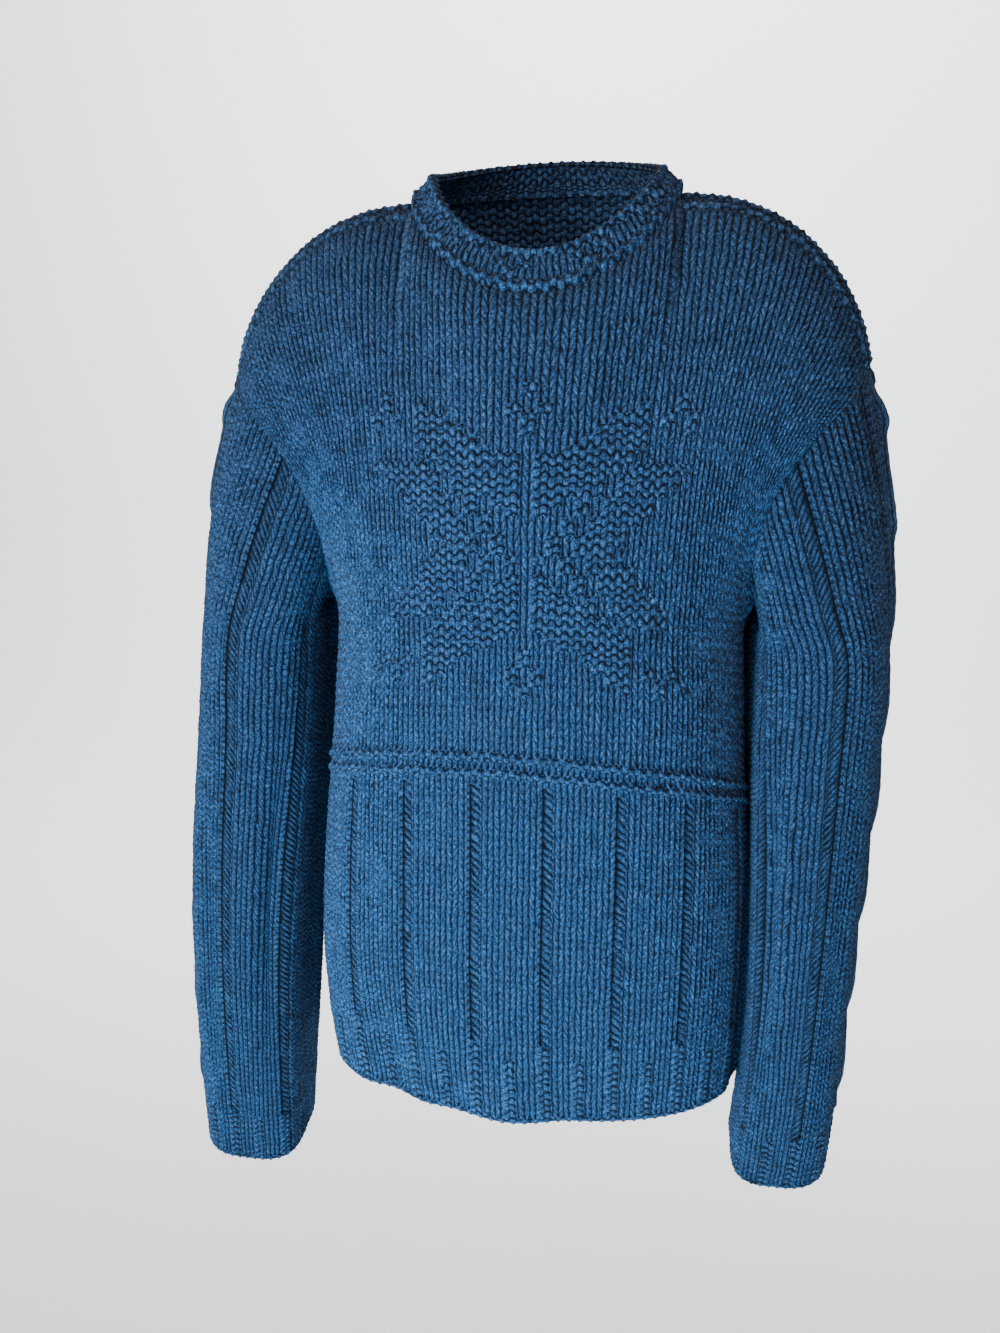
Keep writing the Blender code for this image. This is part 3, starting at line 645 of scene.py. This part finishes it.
def panel_relief(part, side, seed):
    """A panel's wall with its knitting, and each point's stitch, row and kind.

    Its hem gets its loops.
    """
    stitch, drop = part["stitch"], part["drop"]
    sag = SAG * ((stitch - SAG_MIDDLE) / HALF) ** 2 * hump((part["height"] - RIDGE_LOW) / SAG_REACH)
    height = part["height"] + sag
    row = height / ROW_HEIGHT
    column = np.floor(stitch)
    repeat = (column - math.floor(LADDER_FIRST)) % LADDER_EVERY
    in_band = height < BEAD_BAND
    skirt = ~in_band & (np.floor(row) < WAIST_PURLS[0] - 1)
    laddered = skirt & (repeat == 0)
    staggered = height < BEAD_BAND - 2 * ROW_HEIGHT * (repeat == BEADS_EVERY)
    purled = (np.floor(row) == 0) | (in_band & staggered & (repeat % BEADS_EVERY == 0))
    relief = np.zeros(stitch.shape)
    for ridge in WAIST_PURLS:
        purled |= np.floor(row) == ridge
        relief += RIDGE_RISE * hump((row - ridge - 0.5) * ROW_HEIGHT / WAIST_BEAD)
    on_shoulder = np.abs(stitch) > NECK_STITCHES
    for ridge in SHOULDER_RIDGES:
        beaded = on_shoulder & (np.abs(drop - ridge) < SHOULDER_BEAD / 2)
        purled |= beaded
        row = np.where(beaded, (ridge - drop) / SHOULDER_BEAD + 0.5, row)
        relief += RIDGE_RISE * hump((drop - ridge) / SHOULDER_RIDGE_HALF) * on_shoulder
    if side < 0:
        figure, seeded = star_kinds(stitch, height)
        purled |= figure | (seeded & moss(stitch, row))
    stands, lift, kind = yarn(stitch, row, purled, laddered)
    from_side = (HALF - np.abs(stitch)) * STITCH_WIDTH
    seam = ease(np.minimum(from_side, drop) / SEAM_FLAT)
    wall = WALL - YARN_SINK + (relief + lift + stands * unevenness(stitch, row, seed)) * seam
    part["points"] = scalloped(part["points"], stitch, height)
    return wall * rounded(height, EDGE_ROUND, EDGE_THIN), np.stack([stitch, row, kind], -1)


def sleeve_section(row, places):
    """One ring of a sleeve, inside its cloth, at places round it."""
    z, outer, inner, middle_y, depth, back_hug = row
    out = math.copysign(1.0, outer)
    half = (abs(outer) - abs(inner)) / 2 - WALL
    middle_x = (abs(outer) + abs(inner)) / 2
    angle = np.linspace(0, math.pi, RING_POINTS)
    power = 2 / SLEEVE_SQUARENESS
    x = half * np.sign(np.cos(angle)) * np.abs(np.cos(angle)) ** power
    forward = (depth / 2 - WALL) * np.sin(angle) ** power
    spreads = []
    for hug in (SLEEVE_HUG, back_hug):
        curve = np.column_stack([x - hug * (forward / (depth / 2)) ** 2 * (x < 0), forward])
        spreads.append(read_line(curve, np.abs(places) * lengths_along(curve)[-1]))
    spread = np.where(places[:, None] < 0, spreads[1], spreads[0])
    y = middle_y - np.sign(places) * spread[:, 1]
    return np.column_stack([out * (middle_x + spread[:, 0]), y, np.full(len(places), z)])


def sleeve(name):
    """A sleeve's inside points and facings from the armhole down, its places round and lengths down."""
    sections = SLEEVES[name]
    out = math.copysign(1.0, sections[0][1])
    places = np.linspace(-1, 1, SLEEVE_STITCHES * PER_STITCH + 1)[:-1]
    loop, loop_facing = np.zeros((2, len(places), 3))
    for side, mask in ((-1, places >= 0), (1, places < 0)):
        arm, arm_facing = armhole_line(side)
        reach = lengths_along(arm)
        at = np.abs(places[mask]) * reach[-1]
        for values, into in ((arm, loop), (arm_facing, loop_facing)):
            read = [np.interp(at, reach, values[:, n]) for n in range(3)]
            into[mask] = np.stack(read, -1) * [out, 1, 1]
    loop_facing = unit(loop_facing)
    first = sleeve_section(sections[0], places)
    rings = [loop]
    around = np.abs(places)[:, None]
    under = ease((around - UNDERARM_FROM) / UNDERARM_SPAN)
    for t in CROWN_SHARES:
        ring = loop * (1 - t) + first * t
        swell = CROWN_FULL * math.sin(math.pi * t) * (1 - around**2)
        tuck = UNDERARM_FULL * math.sin(math.pi * t) * under
        rings.append(ring + swell * loop_facing + tuck * np.array([out, 0, 0]))
    rings += [sleeve_section(row, places) for row in sections]
    lines = smooth_line(rings, SLEEVE_POINTS)
    totals = lengths_along(lines)[-1]
    shares = np.linspace(0, 1, SLEEVE_ROWS + 1)
    points = np.stack([read_line(lines[:, k], shares * totals[k]) for k in range(len(places))], 1)
    facings = -out * facings_of(points, wrap=True)
    folds = np.zeros(points.shape[:2])
    for at, middle, reach, depth, half in SLEEVE_FOLDS:
        apart = (places - at + 1) % 2 - 1
        folds += depth * hump(apart / half)[None, :] * hump((shares - middle) / reach)[:, None]
    points = points + facings * folds[..., None]
    facings = -out * facings_of(points, wrap=True)
    down = shares[:, None] * totals[None, :]
    near_top = hump(down / FACING_BLEND)[..., None]
    facings = unit(facings * (1 - near_top) + loop_facing[None] * near_top)
    points = points + np.array(PASSAGE) * [out * SEAM_GAP, 1, SEAM_GAP]
    length = float(totals.max())
    return dict(points=points, facings=facings, places=places, down=down, length=length, out=out)


def sleeve_relief(part, seed):
    """A sleeve's wall with its knitting and cable, and each point's stitch, row and kind.

    Its cuff gets its loops.
    """
    points, down = part["points"], part["down"]
    half_round = np.linalg.norm(np.diff(points, axis=1, append=points[:, :1]), axis=-1).sum(1) / 2
    beside = part["places"][None, :] * half_round[:, None]
    stitch = np.broadcast_to(part["places"] * SLEEVE_STITCHES / 2 + 0.5, down.shape)
    up = part["length"] - down * part["length"] / down[-1]
    row = up / SLEEVE_ROW
    column = np.abs(np.floor(stitch))
    cuff = up < CUFF_BAND
    laddered = np.isin(column, SLEEVE_LADDERS) & ~cuff
    purled = (up < ROW_HEIGHT * CUFF_EDGE) | (cuff & (column % BEADS_EVERY == 0))
    stands, lift, kind = yarn(stitch, row, purled, laddered)
    turn = math.pi * (part["length"] - up) / CABLE_TURN
    swing = CABLE_SWING * np.cos(turn)
    over = CABLE_RISE * (1 + CABLE_CROSS * np.sin(turn)) * hump((beside - swing) / CABLE_STRAND)
    under = CABLE_RISE * (1 - CABLE_CROSS * np.sin(turn)) * hump((beside + swing) / CABLE_STRAND)
    centre = np.where(over > under, swing, -swing)
    strand = (beside - centre) / CABLE_STRAND
    shown = ~cuff & (np.maximum(over, under) > CABLE_SHOWN)
    stands = np.where(shown, CABLE_YARN, stands)
    kind = np.where(shown, KNIT, kind)
    lift = np.where(shown, 0, lift)
    relief = np.maximum(over, under) * ~cuff * ease(down / CABLE_FADE)
    seam = ease(down / SEAM_FLAT)
    wall = WALL - YARN_SINK + (relief + lift + stands * unevenness(stitch, row, seed)) * seam
    part["points"] = scalloped(part["points"], stitch, up)
    wall = wall * rounded(up, EDGE_ROUND, EDGE_THIN)
    return wall, np.stack([np.where(shown, strand, stitch), row, kind], -1)


def neckband():
    """The neckband's inside points and facings, from its top edge down to the neckline seam."""
    half_count = BAND_STITCHES * PER_STITCH // 2
    turns = np.linspace(-math.pi / 2, math.pi / 2, half_count + 1)
    loop = [(turn, -1) for turn in turns[:-1]] + [(turn, 1) for turn in turns[:0:-1]]
    base = np.array([neck_point(NECK_BASE, turn, side) for turn, side in loop])
    top = np.array([neck_point(NECK_TOP, turn, side) for turn, side in loop])
    facing = np.array([neck_facing(turn, side) for turn, side in loop])
    shares = np.linspace(0, 1, BAND_ROWS + 1)
    rows = []
    for t in shares:
        rows.append(top * (1 - t) + base * t + facing * BAND_BOW * math.sin(math.pi * t))
    points = np.array(rows)
    computed = facings_of(points, wrap=True)
    near = ease((shares - 0.5) / 0.5)[:, None, None]
    facings = unit(computed * (1 - near) + facing[None] * near)
    rise = top - base
    clear = unit(rise - facing * (rise * facing).sum(-1, keepdims=True)) * BAND_GAP
    down = np.linalg.norm(rise, axis=-1)[None, :] * shares[:, None]
    return dict(points=points + clear, facings=facings, down=down)


def band_relief(part, seed):
    """The neckband's wall with its knitting, and each point's stitch, row and kind.

    Its top edge gets its loops.
    """
    down = part["down"]
    depth = down[-1:]
    stitch = np.broadcast_to(np.arange(down.shape[1]) / PER_STITCH, down.shape)
    from_base = depth - down
    block = np.floor(stitch / BAND_BLOCK) % 2 == 0
    edge = down < BAND_EDGE
    ridge = from_base < BAND_RIDGE
    row = np.where(ridge, from_base / BAND_RIDGE, down / BAND_EDGE)
    purled = edge | ridge | (block & moss(stitch, row))
    stands, lift, kind = yarn(stitch, row, purled, False)
    edge_hump = hump((down - BAND_EDGE / 2) / BAND_EDGE_HALF)
    ridge_hump = hump((from_base - BAND_RIDGE / 2) / BAND_RIDGE_HALF)
    relief = BAND_RISE * (edge_hump + ridge_hump)
    stands = np.where(ridge | edge, stands * BAND_BEAD, stands)
    wall = WALL - YARN_SINK + relief + lift + stands * unevenness(stitch, row, seed)
    wall = wall * rounded(down, BAND_TOP_ROUND, EDGE_THIN)
    wall = wall * rounded(from_base, BAND_BASE_ROUND, BAND_BASE_THIN)
    part["points"] = scalloped(part["points"], stitch, down)
    return wall, np.stack([stitch, row, kind], -1)


def leaned(points):
    """Points with the lean of the shoulders, which fades out down to the underarm."""
    rise = LEAN * points[..., 0] / LEAN_SPAN * ease(1 + points[..., 2] / LEAN_FADE)
    return points + rise[..., None] * [0, 0, 1]


def grid_faces(rows, places, first, wrap, inward, slanted):
    """Triangles of a grid of points, numbered from first. Slanted ones lean with the stitches' legs."""
    row = np.arange(rows - 1)[:, None]
    place = np.arange(places if wrap else places - 1)[None, :]
    a = first + row * places + place
    d = first + row * places + (place + 1) % places
    b, c = a + places, d + places
    lean = np.broadcast_to((place % PER_STITCH >= PER_STITCH // 2) & slanted, a.shape)
    one = np.where(lean[..., None], np.stack([a, b, d], -1), np.stack([a, b, c], -1))
    two = np.where(lean[..., None], np.stack([b, c, d], -1), np.stack([a, c, d], -1))
    faces = np.concatenate([one.reshape(-1, 3), two.reshape(-1, 3)])
    return faces[:, ::-1] if inward else faces


def rim_faces(outer, inner, inward):
    """Triangles between an outer edge and an inner one with a point for every few of its."""
    faces = []
    for k in range(len(inner) - 1):
        low, high = k * INSIDE_EVERY, (k + 1) * INSIDE_EVERY
        middle = low + INSIDE_EVERY // 2
        for n in range(low, high):
            near = inner[k] if n < middle else inner[k + 1]
            faces.append((outer[n], outer[n + 1], near))
        faces.append((inner[k], outer[middle], inner[k + 1]))
    faces = np.array(faces)
    return faces[:, ::-1] if inward else faces


def bake_grid(rows, places, span, inward, slanted):
    """Where the corners of a grid's triangles lie in the bake layout, in the order of grid_faces."""
    down, across = np.meshgrid(np.linspace(*span, rows), np.linspace(*BAKE_ACROSS, places), indexing="ij")
    spots = np.stack([across, down], -1).reshape(-1, 2)
    return spots[grid_faces(rows, places, 0, False, inward, slanted)]


def bake_rim(outer_count, inner_count, span, inward):
    """Where the corners of a rim's triangles lie in the bake layout, in the order of rim_faces."""
    across = np.concatenate([np.linspace(*BAKE_ACROSS, count) for count in (outer_count, inner_count)])
    spots = np.stack([across, np.repeat(span, (outer_count, inner_count))], -1)
    ids = np.arange(outer_count + inner_count)
    return spots[rim_faces(ids[:outer_count], ids[outer_count:], inward)]


def knitted(name, part, wall, stitching, wool, wrap, flip, shift=0.0):
    """One closed knitted piece: raised stitches outside, a plain inside, and rims at its edges.

    A wrapped piece is a tube. A flipped one has its grid running the other way round the body.
    """
    inside = part["points"] + shift
    outer = leaned(inside + part["facings"] * wall[..., None])
    inner = leaned(inside[::INSIDE_EVERY, ::INSIDE_EVERY])
    rows, places = wall.shape
    inner_rows, inner_places = inner.shape[:2]
    layer = rows * places
    vertices = np.concatenate([outer.reshape(-1, 3), inner.reshape(-1, 3)]) * MM
    outside_ids = np.arange(layer).reshape(rows, places)
    inside_ids = layer + np.arange(inner_rows * inner_places).reshape(inner_rows, inner_places)
    faces = [
        grid_faces(rows, places, 0, wrap, flip, True),
        grid_faces(inner_rows, inner_places, layer, wrap, not flip, False),
    ]
    corners = [
        bake_grid(rows, places + wrap, BAKE_OUTSIDE, flip, True),
        bake_grid(inner_rows, inner_places + wrap, BAKE_INSIDE, not flip, False),
    ]
    edges = [(outside_ids[0], inside_ids[0], not flip), (outside_ids[-1], inside_ids[-1], flip)]
    if wrap:
        edges = [(np.append(far, far[0]), np.append(near, near[0]), turn) for far, near, turn in edges]
    else:
        edges.append((outside_ids[:, 0], inside_ids[:, 0], flip))
        edges.append((outside_ids[:, -1], inside_ids[:, -1], not flip))
    for (far, near, inward), span in zip(edges, BAKE_RIMS):
        faces.append(rim_faces(far, near, inward))
        corners.append(bake_rim(len(far), len(near), span, inward))
    faces = np.concatenate(faces).astype(np.int32)
    mesh = bpy.data.meshes.new(name + "_knit")
    mesh.from_pydata(vertices.tolist(), [], faces.tolist())
    mesh.shade_smooth()
    layout = mesh.uv_layers.new(name="OFBake")
    layout.data.foreach_set("uv", np.concatenate(corners).astype(np.float32).ravel())
    lining = stitching[::INSIDE_EVERY, ::INSIDE_EVERY].copy()
    lining[..., 2] = PURL
    stitches = mesh.attributes.new("stitches", "FLOAT_VECTOR", "POINT")
    values = np.concatenate([stitching.reshape(-1, 3), lining.reshape(-1, 3)])
    stitches.data.foreach_set("vector", values.astype(np.float32).ravel())
    mesh.materials.append(wool)
    piece = bpy.data.objects.new(name + "_knit", mesh)
    bpy.context.scene.collection.objects.link(piece)
    return piece


def fill(node, values):
    """Sets a node's inputs by their names."""
    for name, value in values.items():
        node.inputs[name].default_value = value


class Sums:
    """Writes shader arithmetic as nodes of one material."""

    def __init__(self, tree):
        self.nodes, self.links = tree.nodes, tree.links

    def link(self, value, socket):
        if isinstance(value, (int, float)):
            socket.default_value = value
        else:
            self.links.new(value, socket)

    def __call__(self, operation, *values):
        node = self.nodes.new("ShaderNodeMath")
        node.operation = operation
        for value, socket in zip(values, node.inputs):
            self.link(value, socket)
        return node.outputs["Value"]

    def bump(self, phase):
        """1 in the middle of each whole step of a phase, falling round to 0 at its ends."""
        centred = self("MULTIPLY_ADD", self("FRACT", phase), 2.0, -1.0)
        return self("SUBTRACT", 1.0, self("MULTIPLY", centred, centred))

    def blend(self, share, first, second):
        node = self.nodes.new("ShaderNodeMix")
        for value, name in ((share, "Factor"), (first, "A"), (second, "B")):
            self.link(value, next(k for k in node.inputs if k.name == name and k.type == "VALUE"))
        return node.outputs["Result"]

    def noise(self, place, scale, detail, roughness):
        node = self.nodes.new("ShaderNodeTexNoise")
        fill(node, {"Scale": scale, "Detail": detail, "Roughness": roughness})
        self.links.new(place, node.inputs["Vector"])
        return node.outputs["Fac"]

    def ranged(self, value, low, high, to_low, to_high):
        node = self.nodes.new("ShaderNodeMapRange")
        fill(node, {"From Min": low, "From Max": high, "To Min": to_low, "To Max": to_high})
        self.link(value, node.inputs["Value"])
        return node.outputs["Result"]


def stitched(do, stitch, row, kind):
    """The yarn's height in the material, 0 to 1, for the kind of stitch at each place."""
    within = do("FRACT", stitch)
    out = do("ABSOLUTE", do("SUBTRACT", within, 0.5))
    legs = do.bump(do("MULTIPLY", out, 2.0))
    strokes = do.bump(do("MULTIPLY_ADD", out, -LEG_SLOPE, row))
    knitted_height = do("MULTIPLY", legs, do("MULTIPLY_ADD", strokes, STROKE_SHARE, 1 - STROKE_SHARE))
    arch = do("COSINE", do("MULTIPLY_ADD", within, 2 * math.pi, -math.pi))
    beads = do.bump(do("MULTIPLY_ADD", arch, -BEAD_ARCH, row))
    peaks = do("POWER", do("ABSOLUTE", arch), BEAD_SHARP)
    purled_height = do("MULTIPLY", beads, do("MULTIPLY_ADD", peaks, 1 - BEAD_DIP, BEAD_DIP))
    bars = do.bump(do("MULTIPLY_ADD", within, RUNG_SLOPE, row))
    rung_height = do("MULTIPLY", do("MULTIPLY", bars, do.bump(within)), RUNG_SHARE)
    low, high = KIND_CHANGE
    purled = do.ranged(kind, KNIT + low, KNIT + high, 0.0, 1.0)
    laddered = do.ranged(kind, PURL + low, PURL + high, 0.0, 1.0)
    return do.blend(laddered, do.blend(purled, knitted_height, purled_height), rung_height)


def wool_material(name, painted_shade_factor):
    """Heathered wool: stitches drawn with painted shade in the grooves and painted highlight on the
    crests, two fibre colours mixed under a painted shade factor, and a soft fuzz.
    """
    material = bpy.data.materials.new(name)
    material.use_nodes = True
    tree = material.node_tree
    do = Sums(tree)
    surface = tree.nodes["Principled BSDF"]
    fill(surface, WOOL_SURFACE)
    place = tree.nodes.new("ShaderNodeTexCoord").outputs["Object"]
    stitches = tree.nodes.new("ShaderNodeAttribute")
    stitches.attribute_name = "stitches"
    apart = tree.nodes.new("ShaderNodeSeparateXYZ")
    tree.links.new(stitches.outputs["Vector"], apart.inputs["Vector"])
    drift = do("MULTIPLY_ADD", do.noise(place, *DRIFT_NOISE), DRIFT, -DRIFT / 2)
    climb = do("MULTIPLY_ADD", do.noise(place, *CLIMB_NOISE), CLIMB, -CLIMB / 2)
    stitch = do("ADD", apart.outputs["X"], drift)
    row = do("ADD", apart.outputs["Y"], climb)
    height = stitched(do, stitch, row, apart.outputs["Z"])

    # Both fibre colours are scaled by the material's painted shade factor, which darkens the sleeves as
    # painted shade
    fibres = tree.nodes.new("ShaderNodeValToRGB")
    for element, position, fibre in zip(fibres.color_ramp.elements, FIBRE_EDGES, (NAVY, DENIM)):
        element.position = position
        element.color = (*(painted_shade_factor * k for k in fibre), 1.0)
    tree.links.new(do.noise(place, *FIBRE_NOISE), fibres.inputs["Fac"])
    # Painted shade in the grooves between stitches and painted highlight on the yarn's crests, read from
    # the yarn's height
    painted_groove_shade_and_highlight = do.ranged(height, *PAINTED_GROOVE_SHADE_AND_HIGHLIGHT)
    patchy = do.ranged(do.noise(place, *PATCH_NOISE), *PATCH_BRIGHT)
    painted_shade_and_patches = tree.nodes.new("ShaderNodeMix")
    painted_shade_and_patches.data_type = "RGBA"
    painted_shade_and_patches.blend_type = "MULTIPLY"
    painted_shade_and_patches.inputs["Factor"].default_value = 1.0
    tree.links.new(fibres.outputs["Color"], painted_shade_and_patches.inputs[6])
    tree.links.new(do("MULTIPLY", painted_groove_shade_and_highlight, patchy), painted_shade_and_patches.inputs[7])
    tree.links.new(painted_shade_and_patches.outputs[2], surface.inputs["Base Color"])
    bump = tree.nodes.new("ShaderNodeBump")
    fill(bump, WOOL_BUMP)
    fuzz = do("MULTIPLY", do.noise(place, *FUZZ_NOISE), FUZZ)
    tree.links.new(do("ADD", height, fuzz), bump.inputs["Height"])
    tree.links.new(bump.outputs["Normal"], surface.inputs["Normal"])
    return material


def place_camera():
    """The camera at the photograph's place."""
    turn, pitch = math.radians(CAMERA_AZIMUTH), math.radians(CAMERA_PITCH)
    place = Vector((CAMERA_DISTANCE * math.sin(turn), -CAMERA_DISTANCE * math.cos(turn), CAMERA_HEIGHT))
    off_centre = math.atan((NECK_PIXEL - FRAME_WIDTH / 2) / FOCAL_PIXELS * math.cos(pitch))
    yaw = math.atan2(-place.y, -place.x) + off_centre
    forward = Vector((math.cos(yaw) * math.cos(pitch), math.sin(yaw) * math.cos(pitch), -math.sin(pitch)))
    camera = bpy.data.cameras.new("camera")
    camera.sensor_fit = "VERTICAL"
    camera.sensor_height = SENSOR
    camera.lens = FOCAL_PIXELS / FRAME_HEIGHT * SENSOR
    holder = bpy.data.objects.new("camera", camera)
    holder.location = place
    holder.rotation_euler = forward.to_track_quat("-Z", "Y").to_euler()
    bpy.context.scene.collection.objects.link(holder)
    bpy.context.scene.camera = holder


def paper_sweep():
    """A pale sweep of paper below and behind."""
    paper = bpy.data.materials.new("studio_paper")
    paper.use_nodes = True
    fill(paper.node_tree.nodes["Principled BSDF"], PAPER)
    profile = [(SWEEP_FRONT, FLOOR), (SWEEP_BACK, FLOOR)]
    for k in range(1, BEND_STEPS + 1):
        bend = k / BEND_STEPS * math.pi / 2
        rise = BEND_RADIUS * (1 - math.cos(bend))
        profile.append((SWEEP_BACK + BEND_RADIUS * math.sin(bend), FLOOR + rise))
    profile.append((SWEEP_BACK + BEND_RADIUS, SWEEP_TOP))
    vertices = [(x, y, z) for x in (-SWEEP_SIDE, SWEEP_SIDE) for y, z in profile]
    count = len(profile)
    faces = [(k, count + k, count + k + 1, k + 1) for k in range(count - 1)]
    mesh = bpy.data.meshes.new("floor")
    mesh.from_pydata(vertices, [], faces)
    mesh.shade_smooth()
    mesh.materials.append(paper)
    sweep = bpy.data.objects.new("floor", mesh)
    bpy.context.scene.collection.objects.link(sweep)


def studio_light():
    """A dim surround and the lamps."""
    world = bpy.data.worlds.new("studio")
    world.use_nodes = True
    fill(world.node_tree.nodes["Background"], SURROUND)
    bpy.context.scene.world = world
    for name, place, target, size, watts, colour in LAMPS:
        light = bpy.data.lights.new(name, "AREA")
        light.size = size
        light.energy = watts
        light.color = colour
        lamp = bpy.data.objects.new(name, light)
        lamp.location = place
        lamp.rotation_euler = (Vector(target) - Vector(place)).to_track_quat("-Z", "Y").to_euler()
        bpy.context.scene.collection.objects.link(lamp)


def dress():
    """Builds the five knitted pieces on their solids."""
    # The sleeves' wool is the body's yarn darkened as painted shade
    body_wool, sleeve_wool_painted_shade = (wool_material(name, painted_shade_factor) for name, painted_shade_factor in WOOLS)
    cuts = {}
    for seed, (name, side) in enumerate((("front", -1), ("back", 1))):
        part = panel(name, side)
        wall, stitching = panel_relief(part, side, seed)
        shift = np.array([0, side * SEAM_GAP / 2, 0])
        piece = knitted(name, part, wall, stitching, body_wool, wrap=False, flip=side > 0, shift=shift)
        cuts[name] = piece, part
    for seed, name in enumerate(SLEEVES, start=len(cuts)):
        part = sleeve(name)
        wall, stitching = sleeve_relief(part, seed)
        piece = knitted(name, part, wall, stitching, sleeve_wool_painted_shade, wrap=True, flip=part["out"] > 0)
        cuts[name] = piece, part
    part = neckband()
    wall, stitching = band_relief(part, len(cuts))
    piece = knitted("neckband", part, wall, stitching, body_wool, wrap=True, flip=False)
    cuts["neckband"] = piece, part
    for name, (piece, part) in cuts.items():
        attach(piece, "root")
        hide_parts(name)


place_camera()
paper_sweep()
studio_light()
dress()
